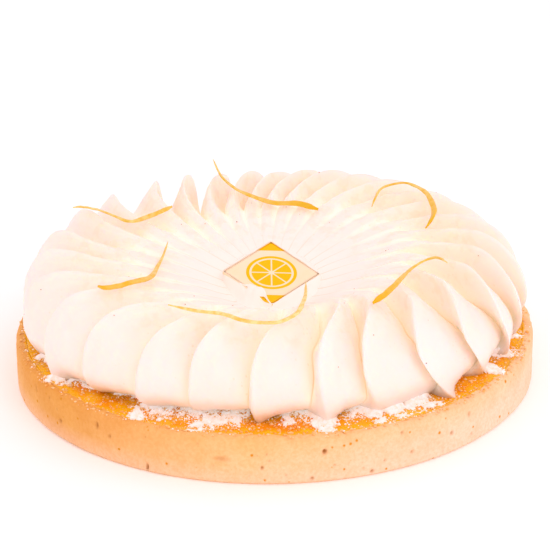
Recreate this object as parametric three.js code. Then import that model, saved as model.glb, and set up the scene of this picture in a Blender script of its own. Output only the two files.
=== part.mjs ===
// A lemon meringue pie, 220 mm across: a straight-sided sweet pastry shell filled with lemon curd,
// a ring of piped meringue petals that turn like a pinwheel, a small square chocolate plaque set
// in the hollow at the centre, and six strands of candied lemon zest laid over the meringue.
//
// Millimetres, +Z up. The origin is the middle of the shell's underside and -Y is the front.
// Everything round is described in polar terms: azimuth in degrees, counter-clockwise from +X.

import * as THREE from 'three';

// ---- Driving sizes --------------------------------------------------------------------------

// Pastry shell
const SHELL_RADIUS = 110;
const SHELL_HEIGHT = 20;
const SHELL_WALL = 4.6;
const SHELL_FLOOR = 4;
const SHELL_EDGE_ROUND = 2.2;   // radius of the rim's two edges
const SHELL_FOOT_ROUND = 1.2;   // bevel where the wall meets the floor
const RIM_UNEVEN = 0.35;        // how far the rim's height wanders
const SHELL_STEPS = 72;

// Lemon curd
const CURD_TOP = 18.8;
const CURD_EDGE_RISE = 0.5;     // the curd climbs this far where it meets the pastry
const CURD_EDGE_WIDTH = 1.8;
const GAP = 0.35;               // clearance kept between neighbouring pieces

// Meringue petals. One azimuth for each stroke of the nozzle, measured where it bulges furthest.
const PETAL_AZIMUTHS = [
  191, 207.5, 222, 237.5, 250.3, 264.5, 279.5, 290, 304, 318.5, 332.5, 344.5, 357, 369, 381,
  393, 405, 416, 425.5, 434, 442.5, 451, 460.5, 470.5, 481, 496, 510, 524, 537.5,
];
const RING_RADIUS = 104.3;      // mean radius of the bulges
const RING_OVAL = 3;            // the ring is wider left to right
const RING_BACK = 1.2;          // and sits a little to the back
const RADIUS_UNEVEN = 0.9;
const HEIGHT_UNEVEN = 1.1;
const BULB_RADIUS = 22;         // outer end of a stroke, seen from the side
const BULB_MIDDLE = 31.5;       // height of the bulge's widest point
const BULB_DROP = 17.5;         // lower half of the bulb, longer than the part above the curd
const CREST_TOP = 58.6;
const CREST_BACK = 0.7;         // the back of the ring stands this much higher than the middle
const CREST_QUARTERS = 3.5;     // and the two quarters beside the back a little more
const CREST_SAG = 1.4;          // power of the fall from the top of the crest to the centre
const INNER_RADIUS = 22;        // the strokes end round a hollow
const INNER_TOP = 40.4;
const INNER_TILT = 5.5;         // the hollow's edge is higher at the back, lower at the front
const SEAM_SETBACK = 7;         // the groove between two petals, against the crest
const SEAM_BULB_RADIUS = 28;
const SEAM_MIDDLE = 26.8;
const SEAM_DROP = 12.8;
const SEAM_TOP = 42.3;
const SEAM_SHARE_MORE = 0.37;   // on top the steep side takes this much more of the pitch
const SEAM_SHARE_FOOT = 0.1;    // and at the foot it takes at least this much
const SEAM_SHIFT = 18;          // distance over which the groove moves across
const GROOVE_CLOSES = 0.4;      // a groove has closed up on this share of its way from bulge to centre
const GROOVE_END = 0;           // and is this deep at the centre
const STEEP_POWER = 1.2;        // the steep side is nearly straight at the bulge,
const STEEP_POWER_TOP = 1.6;    // hollow along the crest
const STEEP_POWER_FOOT = 0.7;   // and full at the foot
const BROAD_POWER = 2;          // the broad side is round
const BROAD_ROUND = 0.62;
const FOOT_LOBE = 0.3;          // a foot stands out on the crest's side only; this share recedes
const FOOT_BLEND = 1.5;         // how fast that form fades on the way up to the bulge
const TURN = 24;                // degrees that a stroke turns on its way in
const TURN_REACH = 31;          // distance in from the bulge where half of that turn is done
const SLANT_FROM = 42;          // height where a petal starts to lean towards its foot
const SLANT_POWER = 1.5;

// Tables that start with an azimuth and are read in between.
// Part of the pitch that the steep side takes at the bulge. Where it is below nothing the crest
// hangs over the petal before it.
const SEAM_SHARES = [
  [180, 0.18], [270, 0.18], [280, 0.1], [290, -0.05], [304, -0.28], [318.5, -0.36], [345, -0.36],
  [385, 0.18], [540, 0.18],
];
// How soon a broad side falls away from its crest: 0 is full and round, 1 is straight
const SLACKS = [[180, 0], [272, 0], [296, 0.65], [345, 0.75], [400, 0.3], [450, 0], [540, 0]];
// How deep the grooves stay on top of the ring
const GROOVE_DEPTHS = [
  [160, 0.4], [230, 0.7], [265, 2.2], [300, 2.6], [330, 1.6], [380, 1.3], [420, 2], [455, 3.5],
  [475, 6.5], [490, 5], [508, 2], [520, 0.4],
];
// Degrees that the tip of a foot stands past its bulge, and how much further out it is
const TIP_SHIFTS = [
  [180, 3, 0], [191, 2.5, 0.8], [207.5, 1.5, 3.4], [222, 0, -3], [237.5, -1, -4.5], [250.3, 0, -7],
  [264.5, 1, 0.3], [279.5, 2.4, 3.8], [290, 5.5, 0], [304, 10, 7], [318.5, 10, 2.7], [332.5, 7.5, 3],
  [350, 5, 0], [540, 3, 0],
];
// The same for the foot of a groove
const GROOVE_SHIFTS = [
  [180, 3, 0], [204.5, 1.7, 0.8], [219.4, 0.5, -4.5], [234.7, -1, -8], [248, -0.2, -4.7],
  [261.9, 0.8, -11], [278, -1.1, -8.3], [290.5, 1.35, -4.4], [307.9, 8.5, 3.8], [323.7, 6.1, -0.5],
  [337.5, 6.8, -0.3], [350, 5, -1], [540, 3, 0],
];
const [FOOT_TURN, FOOT_OUT] = [1, 2];
const BULB_STEPS = 5;
const CREST_STEPS = 6;
const STEEP_STEPS = 2;
const BROAD_STEPS = 4;

// Hollow at the centre and the plaque
const COLLAR_STEPS = 32;        // a multiple of 4, so that the plaque's corners are met
const COLLAR_RISE = 0.25;       // the collar round the plaque ends this far above it
const COLLAR_EDGE_DROP = 0.8;   // and starts this far below the ends of the strokes
const COLLAR_THIN = 0.5;        // least thickness of the collar,
const CORNER_DROP = 2;          // which gives way where a corner of the plaque reaches the strokes
const PLAQUE_SIDE = 29.3;
const PLAQUE_THICK = 1.6;
const PLAQUE_BEVEL = 0.3;
const PLAQUE_TILT = 17.5;       // degrees, its back corner is the high one
const PLAQUE_ROLL = 3;          // and its right corner is a little low
const PLAQUE_CENTRE = new THREE.Vector3(-0.8, -0.75, 43);

// Zest strands. Each plan is a few points (x, y), with a third number where the strand lifts off
// the ridges it rests on.
const ZEST_THICK = 1.7;
const ZEST_CLEAR = 0.5;
const ZEST_TIP = 0.45;          // thickness of the two ends as a share of the middle's
const ZEST_SIDES = 6;
const ZEST_STEP = 6;
const ZEST_BRIDGE = 9;          // a strand spans dips narrower than this
const ZEST_PLANS = [
  [[-86.2, 31], [-82.3, 31.5], [-77.3, 29], [-67.6, 23], [-61, 20.6], [-54.1, 26.8], [-43.7, 38.7]],
  [[-70.2, -52.5], [-66.8, -54], [-58.7, -50], [-50.6, -37.2], [-47.9, -14.7], [-44.7, 10.8]],
  [[-26.5, 84, 2.2], [-22.7, 69], [-16.9, 59], [-11.5, 54.4], [0, 48], [11.3, 46.4], [20, 40.8]],
  [[-41.5, -71.5], [-30.8, -77.8], [-20.6, -81], [-12, -86.5], [-3, -88.3], [4, -87], [9.8, -79],
    [12.5, -56], [13.5, -13, 5.2]],
  [[43.4, 36.3], [45.5, 44], [48.9, 50.8], [57.9, 53.5], [62.5, 50], [67.2, 41], [69.1, 30],
    [69.4, 22], [67.6, 14.8], [65.1, 9.1]],
  [[38.9, -72.7], [43.6, -65.3], [48, -56.2], [51.9, -44.4], [56.6, -33.2], [61.5, -27.1],
    [66.1, -25.4], [69.1, -29.2], [70.8, -34.1]],
];

// ---- Colours --------------------------------------------------------------------------------

const finish = (color, roughness) => new THREE.MeshStandardMaterial({ color, roughness, metalness: 0 });
const PASTRY = () => finish('#eec28a', 0.85);
const CURD = () => finish('#f0921e', 0.3);
const MERINGUE = () => finish('#fdf3e2', 0.6);
const CHOCOLATE = () => finish('#fbe3ae', 0.45);
const ZEST = () => finish('#f2b844', 0.4);

// ---- Small helpers --------------------------------------------------------------------------

const rad = (degrees) => (degrees * Math.PI) / 180;
const mix = (a, b, t) => a + (b - a) * t;
const clamp = (t) => Math.min(1, Math.max(0, t));
const smooth = (t) => clamp(t) ** 2 * (3 - 2 * clamp(t));

// A value from -1 to 1 that differs from petal to petal
const uneven = (index, kind) => Math.sin(index * 2.399 + kind * 1.7) * Math.cos(index * 1.31 + kind);

const polar = (radius, azimuth, z) => new THREE.Vector3(
  radius * Math.cos(rad(azimuth)),
  radius * Math.sin(rad(azimuth)),
  z,
);

// Reads one column of a table that goes once round the ring, at an azimuth between its rows
function aroundRing(table, azimuth, column = 1) {
  const from = table[0][0];
  const at = from + ((((azimuth - from) % 360) + 360) % 360);
  const next = table.findIndex((row) => row[0] > at);
  if (next < 1) return table[table.length - 1][column];
  const [low, high] = [table[next - 1], table[next]];
  return mix(low[column], high[column], (at - low[0]) / (high[0] - low[0]));
}

// Collects triangles and turns them into one indexed closed geometry
class Shell {
  constructor() {
    this.points = [];
    this.faces = [];
  }

  add(point) {
    this.points.push(point);
    return this.points.length - 1;
  }

  triangle(a, b, c) {
    if (a !== b && b !== c && c !== a) this.faces.push(a, b, c);
  }

  quad(a, b, c, d) {
    this.triangle(a, b, c);
    this.triangle(a, c, d);
  }

  // Joins two rows of points of the same length
  strip(lower, upper) {
    for (let k = 0; k + 1 < lower.length; k += 1) {
      this.quad(lower[k], lower[k + 1], upper[k + 1], upper[k]);
    }
  }

  // The same with its quads split along the other diagonal, for a wall that faces a neighbour's
  mirroredStrip(lower, upper) {
    for (let k = 0; k + 1 < lower.length; k += 1) {
      this.quad(lower[k + 1], upper[k + 1], upper[k], lower[k]);
    }
  }

  geometry() {
    const geometry = new THREE.BufferGeometry();
    const position = this.points.flatMap((p) => [p.x, p.y, p.z]);
    geometry.setAttribute('position', new THREE.Float32BufferAttribute(position, 3));
    geometry.setIndex(this.faces);
    geometry.computeVertexNormals();
    return geometry;
  }
}

// A closed solid of rings, from a point at the bottom to a point at the top
function ringStack(bottom, rings, top) {
  const shell = new Shell();
  const pole = (point) => new Array(rings[0].length + 1).fill(shell.add(point));
  const closed = (ring) => {
    const points = ring.map((point) => shell.add(point));
    return [...points, points[0]];
  };
  const rows = [pole(bottom), ...rings.map(closed), pole(top)];
  for (let k = 0; k + 1 < rows.length; k += 1) shell.strip(rows[k], rows[k + 1]);
  return shell.geometry();
}

// A solid of revolution whose profile may wander with azimuth. The profile is a list of functions
// of azimuth, each giving { r, z }, that starts and ends on the axis and runs from the bottom up.
function wanderingLathe(profile, steps) {
  const ring = (at) => Array.from({ length: steps }, (_, j) => {
    const azimuth = (360 * j) / steps;
    const { r, z } = at(azimuth);
    return polar(r, azimuth, z);
  });
  const pole = (at) => new THREE.Vector3(0, 0, at(0).z);
  return ringStack(pole(profile[0]), profile.slice(1, -1).map(ring), pole(profile[profile.length - 1]));
}

// ---- Pastry shell and curd ------------------------------------------------------------------

const rimHeight = (azimuth) => SHELL_HEIGHT
  + RIM_UNEVEN * (Math.sin(rad(azimuth * 3 + 40)) + Math.sin(rad(azimuth * 7))) * 0.5;

function pastryShell() {
  const inner = SHELL_RADIUS - SHELL_WALL;
  const round = SHELL_EDGE_ROUND;
  const fixed = (r, z) => () => ({ r, z });
  const rim = (r, drop) => (azimuth) => ({ r, z: rimHeight(azimuth) - drop });
  const onEdge = 1 - Math.SQRT1_2;
  return wanderingLathe([
    fixed(0, 0),
    fixed(SHELL_RADIUS - SHELL_FOOT_ROUND, 0),
    fixed(SHELL_RADIUS, SHELL_FOOT_ROUND),
    rim(SHELL_RADIUS, round),
    rim(SHELL_RADIUS - onEdge * round, onEdge * round),
    rim(SHELL_RADIUS - round, 0),
    rim(inner + round * 0.5, 0),
    rim(inner, round * 0.5),
    fixed(inner, SHELL_FLOOR),
    fixed(0, SHELL_FLOOR),
  ], SHELL_STEPS);
}

function lemonCurd() {
  const edge = SHELL_RADIUS - SHELL_WALL - GAP;
  const fixed = (r, z) => () => ({ r, z });
  return wanderingLathe([
    fixed(0, SHELL_FLOOR),
    fixed(edge, SHELL_FLOOR),
    fixed(edge, CURD_TOP + CURD_EDGE_RISE),
    fixed(edge - CURD_EDGE_WIDTH, CURD_TOP),
    fixed(0, CURD_TOP),
  ], SHELL_STEPS);
}

// ---- Meringue petals ------------------------------------------------------------------------

const PETALS = PETAL_AZIMUTHS.length;

const wrapped = (i) => ((i % PETALS) + PETALS) % PETALS;

const crestAzimuth = (i) => PETAL_AZIMUTHS[wrapped(i)] + 360 * Math.floor(i / PETALS);

// The groove on a petal's clockwise side, at a distance in from the bulge or below it
function seamAzimuth(i, inward = SEAM_SETBACK, below = 0) {
  const atBulge = aroundRing(SEAM_SHARES, crestAzimuth(i));
  const share = atBulge + SEAM_SHARE_MORE * smooth((inward - SEAM_SETBACK) / SEAM_SHIFT);
  const lower = mix(share, Math.max(share, SEAM_SHARE_FOOT), below);
  return mix(crestAzimuth(i), crestAzimuth(i - 1), lower);
}

// How far out the bulges reach at an azimuth
function ringRadius(azimuth) {
  return RING_RADIUS + RING_OVAL * Math.cos(rad(2 * azimuth)) + RING_BACK * Math.sin(rad(azimuth));
}

function crestTop(azimuth) {
  const back = Math.sin(rad(azimuth));
  return CREST_TOP + CREST_BACK * back + CREST_QUARTERS * Math.max(0, back) * (1 - back ** 2);
}

const innerTop = (azimuth) => INNER_TOP + INNER_TILT * Math.sin(rad(azimuth));

// Degrees that a stroke has turned at a distance in from its bulge
const turned = (distance) => (TURN * distance ** 2) / (distance ** 2 + TURN_REACH ** 2);

// A line along the petal seen from the side, from its foot on the curd, round the bulb and in to
// the hollow. Each point has a radius, a height, its distance in from the bulge, and how far it is
// below the bulge as a share of the way to the foot.
function sideLine(reach, radius, middle, drop, top, innerZ) {
  const centre = reach - radius;
  const line = [];
  const footAngle = -Math.asin((middle - CURD_TOP) / drop);
  const footShare = footAngle / (footAngle - Math.PI / 2);
  for (let k = 0; k <= BULB_STEPS; k += 1) {
    const angle = mix(footAngle, Math.PI / 2, k / BULB_STEPS);
    const rise = angle < 0 ? drop : top - middle;
    const r = centre + radius * Math.cos(angle);
    const below = Math.max(0, 1 - k / (BULB_STEPS * footShare));
    line.push({ r, z: middle + rise * Math.sin(angle), inward: angle < 0 ? 0 : reach - r, below });
  }
  for (let k = 1; k <= CREST_STEPS; k += 1) {
    const s = k / CREST_STEPS;
    const r = mix(centre, INNER_RADIUS, s);
    line.push({ r, z: mix(top, innerZ, s ** CREST_SAG), inward: reach - r, below: 0 });
  }
  line[0].z = CURD_TOP;
  return line;
}

function crestLine(i) {
  const azimuth = crestAzimuth(i);
  const reach = ringRadius(azimuth) + RADIUS_UNEVEN * uneven(wrapped(i), 1);
  const top = crestTop(azimuth) + HEIGHT_UNEVEN * uneven(wrapped(i), 2);
  const line = sideLine(reach, BULB_RADIUS, BULB_MIDDLE, BULB_DROP, top, innerTop(azimuth + TURN));
  const out = aroundRing(TIP_SHIFTS, azimuth, FOOT_OUT);
  return line.map((point) => ({ ...point, r: point.r + out * point.below ** 2 }));
}

// Past the bulge a groove closes up: it rises to just below the crests beside it
function seamLine(i) {
  const azimuth = seamAzimuth(i);
  const innerZ = innerTop(azimuth + TURN);
  const reach = ringRadius(azimuth) - SEAM_SETBACK;
  const start = reach - SEAM_BULB_RADIUS;
  const shoulder = ringRadius(azimuth) - BULB_RADIUS;
  const crestZ = (r) => {
    const share = clamp((shoulder - r) / (shoulder - INNER_RADIUS));
    return mix(crestTop(azimuth), innerZ, share ** CREST_SAG);
  };
  const grooveZ = (r) => {
    const closing = clamp((start - r) / (start - INNER_RADIUS));
    const open = crestZ(start) - SEAM_TOP;
    const depth = mix(open, aroundRing(GROOVE_DEPTHS, azimuth), smooth(closing / GROOVE_CLOSES));
    return crestZ(r) - mix(depth, GROOVE_END, closing);
  };
  const out = aroundRing(GROOVE_SHIFTS, azimuth, FOOT_OUT);
  const line = sideLine(reach, SEAM_BULB_RADIUS, SEAM_MIDDLE, SEAM_DROP, SEAM_TOP, innerZ);
  return line.map(({ r, z, inward, below }, k) => ({
    r: r + out * below ** 2,
    z: k > BULB_STEPS ? grooveZ(r) : z,
    inward: inward + SEAM_SETBACK,
    below,
  }));
}

// One petal, from the groove on its clockwise side, steeply up to its crest and broadly down to
// the groove of the next petal
function petal(i) {
  const shell = new Shell();
  const crest = crestLine(i);
  const near = seamLine(i);
  const far = seamLine(i + 1);
  const last = crest.length - 1;

  // Each column of points across the petal has the side line it starts from, its share of the way
  // to the crest in plan, and its lift towards the crest line at the bulge, further up and at the foot
  const across = [];
  for (let k = 0; k <= STEEP_STEPS; k += 1) {
    const s = k / STEEP_STEPS;
    const lift = s ** STEEP_POWER;
    const topLift = s ** STEEP_POWER_TOP;
    across.push({ side: near, seam: i, share: s, lift, topLift, footLift: s ** STEEP_POWER_FOOT });
  }
  const slack = aroundRing(SLACKS, crestAzimuth(i));
  for (let k = 1; k <= BROAD_STEPS; k += 1) {
    const s = 1 - k / BROAD_STEPS;
    const lift = mix((1 - (1 - s) ** BROAD_POWER) ** BROAD_ROUND, s, slack);
    const footLift = smooth((s - FOOT_LOBE) / (1 - FOOT_LOBE));
    across.push({ side: far, seam: i + 1, share: s, lift, topLift: (lift + s) / 2, footLift });
  }

  // Half of the clearance to the neighbours is taken off each side
  const clearance = (column, r) => {
    if (column === 0) return (GAP * 0.6 * 180) / (Math.PI * r);
    if (column === across.length - 1) return -(GAP * 0.6 * 180) / (Math.PI * r);
    return 0;
  };
  const place = (column, { r, z, inward }, along) => {
    const { seam, share } = across[column];
    const straight = mix(seamAzimuth(seam, along.inward, along.below), crestAzimuth(i), share);
    const seamTurn = aroundRing(GROOVE_SHIFTS, seamAzimuth(seam), FOOT_TURN);
    const crestTurn = aroundRing(TIP_SHIFTS, crestAzimuth(i), FOOT_TURN);
    const lean = clamp((SLANT_FROM - z) / (SLANT_FROM - CURD_TOP)) ** SLANT_POWER;
    const azimuth = straight + turned(inward) + mix(seamTurn, crestTurn, share) * lean;
    return polar(r, azimuth + clearance(column, r), z);
  };
  const blend = (a, b, t) => ({
    r: mix(a.r, b.r, t),
    z: mix(a.z, b.z, t),
    inward: mix(a.inward, b.inward, t),
  });

  const rows = [];
  for (let k = 0; k <= last; k += 1) {
    const atFoot = crest[k].below ** FOOT_BLEND;
    const atTop = smooth(crest[k].inward / BULB_RADIUS);
    rows.push(across.map(({ side, lift, topLift, footLift }, c) => {
      const rise = mix(mix(lift, topLift, atTop), footLift, atFoot);
      return shell.add(place(c, blend(side[k], crest[k], rise), side[k]));
    }));
  }

  // The two side walls go straight down from the grooves to the curd. Below the overhang of the
  // bulge they come together in the first point of the foot.
  const wallFoot = (column, side) => side.map(({ r }, k) => {
    if (r >= side[0].r) return rows[0][column];
    const { x, y } = shell.points[rows[k][column]];
    return shell.add(new THREE.Vector3(x, y, CURD_TOP));
  });
  const column = (c) => rows.map((row) => row[c]);
  const end = across.length - 1;
  const nearFoot = wallFoot(0, near);
  const farFoot = wallFoot(end, far);

  for (let k = 0; k < last; k += 1) shell.strip(rows[k], rows[k + 1]);
  shell.strip(column(0), nearFoot);
  shell.mirroredStrip(farFoot, column(end));
  shell.strip(nearFoot, farFoot);
  for (let c = 1; c < end; c += 1) shell.triangle(rows[0][0], rows[0][c + 1], rows[0][c]);
  for (let c = 0; c < end; c += 1) shell.triangle(nearFoot[last], rows[last][c], rows[last][c + 1]);
  shell.triangle(nearFoot[last], rows[last][end], farFoot[last]);
  return shell.geometry();
}

// ---- Hollow and plaque ----------------------------------------------------------------------

// How the plaque lies: on one corner, tilted to the front and rolled a little to the right
const PLAQUE_PLACE = new THREE.Matrix4()
  .makeTranslation(PLAQUE_CENTRE)
  .multiply(new THREE.Matrix4().makeRotationX(rad(PLAQUE_TILT)))
  .multiply(new THREE.Matrix4().makeRotationY(rad(PLAQUE_ROLL)))
  .multiply(new THREE.Matrix4().makeRotationZ(rad(45)));

// Height above a point of the plan of a plane that lies along the plaque, an offset above its middle
function plaqueLevel({ x, y }, offset) {
  const across = new THREE.Vector3(0, 0, 1).transformDirection(PLAQUE_PLACE);
  const start = PLAQUE_CENTRE.clone().addScaledVector(across, offset);
  return start.z - (across.x * (x - start.x) + across.y * (y - start.y)) / across.z;
}

// Distance from the plaque's middle to its edge, seen from above
function plaqueEdge(azimuth) {
  const acrossX = Math.abs(Math.cos(rad(azimuth))) / Math.cos(rad(PLAQUE_ROLL));
  const acrossY = Math.abs(Math.sin(rad(azimuth))) / Math.cos(rad(PLAQUE_TILT));
  return (PLAQUE_SIDE * Math.SQRT1_2) / (acrossX + acrossY);
}

// The dollop that closes the hollow: a collar round the plaque and a tilted seat just under it
function meringueCentre() {
  const edge = INNER_RADIUS - GAP * 2;
  const margin = GAP + (PLAQUE_THICK / 2) * Math.sin(rad(PLAQUE_TILT));
  const { x: middleX, y: middleY } = PLAQUE_CENTRE;
  const columns = Array.from({ length: COLLAR_STEPS }, (_, j) => {
    const azimuth = (360 * j) / COLLAR_STEPS;
    const way = polar(1, azimuth, 0);
    const along = way.x * middleX + way.y * middleY;
    const toRim = Math.sqrt(along ** 2 + edge ** 2 - middleX ** 2 - middleY ** 2) - along;
    const toPlaque = plaqueEdge(azimuth) + margin;
    const widest = toRim - COLLAR_THIN;
    const at = (distance) => new THREE.Vector3(middleX + way.x * distance, middleY + way.y * distance, 0);
    return { rim: at(toRim), inner: at(Math.min(toPlaque, widest)), free: toPlaque < widest };
  });
  const ring = (key, height) => columns.map((column) => column[key].clone().setZ(height(column)));
  const seat = (point) => plaqueLevel(point, -PLAQUE_THICK / 2 - GAP);
  const rimTop = ({ rim, free }) => {
    const azimuth = (Math.atan2(rim.y, rim.x) * 180) / Math.PI;
    const high = innerTop(azimuth) - COLLAR_EDGE_DROP;
    return free ? high : Math.min(high, seat(rim) - CORNER_DROP);
  };
  const collarTop = ({ inner, free }) => (free
    ? plaqueLevel(inner, PLAQUE_THICK / 2 + COLLAR_RISE)
    : seat(inner) - CORNER_DROP + GAP);
  const seatEdge = ({ inner, free }) => seat(inner) - (free ? 0 : CORNER_DROP);
  return ringStack(new THREE.Vector3(0, 0, CURD_TOP), [
    ring('rim', () => CURD_TOP),
    ring('rim', rimTop),
    ring('inner', collarTop),
    ring('inner', seatEdge),
  ], PLAQUE_CENTRE.clone().setZ(seat(PLAQUE_CENTRE)));
}

// A thin square plate standing on one corner, its edges lightly bevelled
function plaquePlate() {
  const half = PLAQUE_SIDE / 2 - PLAQUE_BEVEL;
  const outline = new THREE.Shape();
  outline.moveTo(-half, -half);
  outline.lineTo(half, -half);
  outline.lineTo(half, half);
  outline.lineTo(-half, half);
  outline.closePath();
  const geometry = new THREE.ExtrudeGeometry(outline, {
    depth: PLAQUE_THICK - 2 * PLAQUE_BEVEL,
    bevelEnabled: true,
    bevelSize: PLAQUE_BEVEL,
    bevelThickness: PLAQUE_BEVEL,
    bevelSegments: 1,
  });
  geometry.translate(0, 0, PLAQUE_BEVEL - PLAQUE_THICK / 2);
  return geometry;
}

// ---- Lemon zest -----------------------------------------------------------------------------

// Height of the meringue above a point of the plan, on the crests: a strand rests on these
function crestHeight(x, y) {
  const r = Math.hypot(x, y);
  const azimuth = (Math.atan2(y, x) * 180) / Math.PI;
  const reach = ringRadius(azimuth);
  const shoulder = reach - BULB_RADIUS;
  const top = crestTop(azimuth) + HEIGHT_UNEVEN;
  if (r > shoulder) {
    const out = Math.min((r - shoulder) / BULB_RADIUS, 1);
    return mix(BULB_MIDDLE, top, Math.sqrt(1 - out ** 2));
  }
  const s = Math.min((shoulder - r) / (shoulder - INNER_RADIUS), 1);
  return mix(top, innerTop(azimuth), s ** CREST_SAG);
}

// A strand swept along its plan, resting on the crests, thin at both ends. The flat curve carries
// the lift as its height, so that it changes smoothly from point to point.
function zestStrand(plan) {
  const flat = new THREE.CatmullRomCurve3(plan.map(([x, y, lift = 0]) => new THREE.Vector3(x, y, lift)));
  const steps = Math.round(flat.getLength() / ZEST_STEP);
  const spine = flat.getSpacedPoints(steps).map(({ x, y, z: lift }) => {
    const reach = ZEST_BRIDGE / 2 / Math.hypot(x, y);
    const heights = [-reach, 0, reach].map((shift) => crestHeight(x * (1 + shift), y * (1 + shift)));
    return new THREE.Vector3(x, y, Math.max(...heights) + lift + ZEST_CLEAR + ZEST_THICK / 2);
  });
  const curve = new THREE.CatmullRomCurve3(spine);
  const shell = new Shell();
  const up = new THREE.Vector3(0, 0, 1);
  const rings = spine.map((_, k) => {
    const u = k / steps;
    const point = curve.getPoint(u);
    const tangent = curve.getTangent(u);
    const side = new THREE.Vector3().crossVectors(up, tangent).normalize();
    const over = new THREE.Vector3().crossVectors(tangent, side).normalize();
    const radius = (ZEST_THICK / 2) * mix(ZEST_TIP, 1, Math.min(1, 5 * u, 5 * (1 - u)));
    const ring = [];
    for (let j = 0; j < ZEST_SIDES; j += 1) {
      const angle = (2 * Math.PI * j) / ZEST_SIDES;
      const offset = side.clone().multiplyScalar(radius * Math.cos(angle));
      offset.addScaledVector(over, radius * Math.sin(angle));
      ring.push(shell.add(point.clone().add(offset)));
    }
    ring.push(ring[0]);
    return ring;
  });
  for (let k = 0; k < steps; k += 1) shell.strip(rings[k], rings[k + 1]);
  for (let j = 1; j + 1 < ZEST_SIDES; j += 1) {
    shell.triangle(rings[0][0], rings[0][j + 1], rings[0][j]);
    shell.triangle(rings[steps][0], rings[steps][j], rings[steps][j + 1]);
  }
  return shell.geometry();
}

// ---- The pie --------------------------------------------------------------------------------

const pie = new THREE.Group();

function addPiece(name, geometry, material) {
  const mesh = new THREE.Mesh(geometry, material);
  mesh.name = name;
  pie.add(mesh);
  return mesh;
}

const numbered = (name, i) => `${name}_${String(i + 1).padStart(2, '0')}`;

addPiece('crust', pastryShell(), PASTRY());
addPiece('lemon_curd', lemonCurd(), CURD());
for (let i = 0; i < PETALS; i += 1) addPiece(numbered('meringue_petal', i), petal(i), MERINGUE());
addPiece('meringue_centre', meringueCentre(), MERINGUE());

addPiece('plaque', plaquePlate(), CHOCOLATE()).applyMatrix4(PLAQUE_PLACE);

ZEST_PLANS.forEach((plan, i) => addPiece(numbered('zest_strand', i), zestStrand(plan), ZEST()));

export default pie;
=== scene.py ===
# %% [markdown]
# # A lemon meringue pie
#
# This lesson finishes a whole lemon meringue pie, 220 mm across. The solids come packed from the
# workshop: a straight-sided pastry shell, the lemon curd in it, a ring of piped meringue petals,
# a chocolate plaque in the middle and strands of candied lemon zest. They have the right sizes and
# places, and plain surfaces. Here each one gets the fine shape and the finish of the real thing.
#
# Lengths are written in millimetres, as a baker would measure them, and turned into metres at the
# moment a mesh is made. The pie stands on z = 0 with its front towards -Y. Places on it are given
# as a radius and an azimuth in degrees, counter-clockwise from +X, so 270 is the front.

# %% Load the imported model
import itertools
import math

import bpy
import numpy as np
from mathutils import Matrix, Vector


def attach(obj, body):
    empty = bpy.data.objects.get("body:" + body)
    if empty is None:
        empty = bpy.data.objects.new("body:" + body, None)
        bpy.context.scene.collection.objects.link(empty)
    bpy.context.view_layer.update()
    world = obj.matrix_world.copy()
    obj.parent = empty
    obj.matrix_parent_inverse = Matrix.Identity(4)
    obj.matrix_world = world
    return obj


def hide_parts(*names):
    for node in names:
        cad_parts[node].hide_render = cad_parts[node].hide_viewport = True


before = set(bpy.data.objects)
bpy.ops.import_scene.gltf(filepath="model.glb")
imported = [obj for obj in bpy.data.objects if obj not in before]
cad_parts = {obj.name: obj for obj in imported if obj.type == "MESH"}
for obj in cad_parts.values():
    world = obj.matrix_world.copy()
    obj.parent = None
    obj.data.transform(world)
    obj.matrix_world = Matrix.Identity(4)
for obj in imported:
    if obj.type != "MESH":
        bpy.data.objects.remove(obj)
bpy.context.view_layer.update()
MM = 0.001
print("packed nodes:", len(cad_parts))

# %% [markdown]
# ## The camera
#
# The pie is seen from a little above the table, through a long lens, so the far side is hardly
# smaller than the near one. A camera can be aimed with a Track To constraint, but here it also
# rolls by under a degree, so its place is written as a chain of turns: tilt down to the pie, then
# three small corrections.

# %% Place the camera
CAMERA_DISTANCE = 1000
CAMERA_AIM = 20                     # height of the point it circles
CAMERA_ELEVATION = 24
CAMERA_YAW, CAMERA_PITCH, CAMERA_ROLL = -0.04, 1.17, 0.91
FOCAL_PIXELS, FRAME_PIXELS = 2340, 550
SENSOR = 36


def turn(degrees, axis):
    """A turn about one of the axes, as a 4 by 4 matrix."""
    return Matrix.Rotation(math.radians(degrees), 4, axis)


camera_data = bpy.data.cameras.new("camera")
camera_data.sensor_width = SENSOR
camera_data.lens = SENSOR * FOCAL_PIXELS / FRAME_PIXELS
camera = bpy.data.objects.new("camera", camera_data)
bpy.context.scene.collection.objects.link(camera)
slope = math.radians(CAMERA_ELEVATION)
stand = Vector((0, -math.cos(slope), math.sin(slope))) * CAMERA_DISTANCE + Vector((0, 0, CAMERA_AIM))
aim = turn(90 - CAMERA_ELEVATION, "X") @ turn(CAMERA_YAW, "Y") @ turn(CAMERA_PITCH, "X")
camera.matrix_world = Matrix.Translation(stand * MM) @ aim @ turn(-CAMERA_ROLL, "Z")
bpy.context.scene.camera = camera
print(f"lens: {camera_data.lens:.1f} mm")
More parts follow.
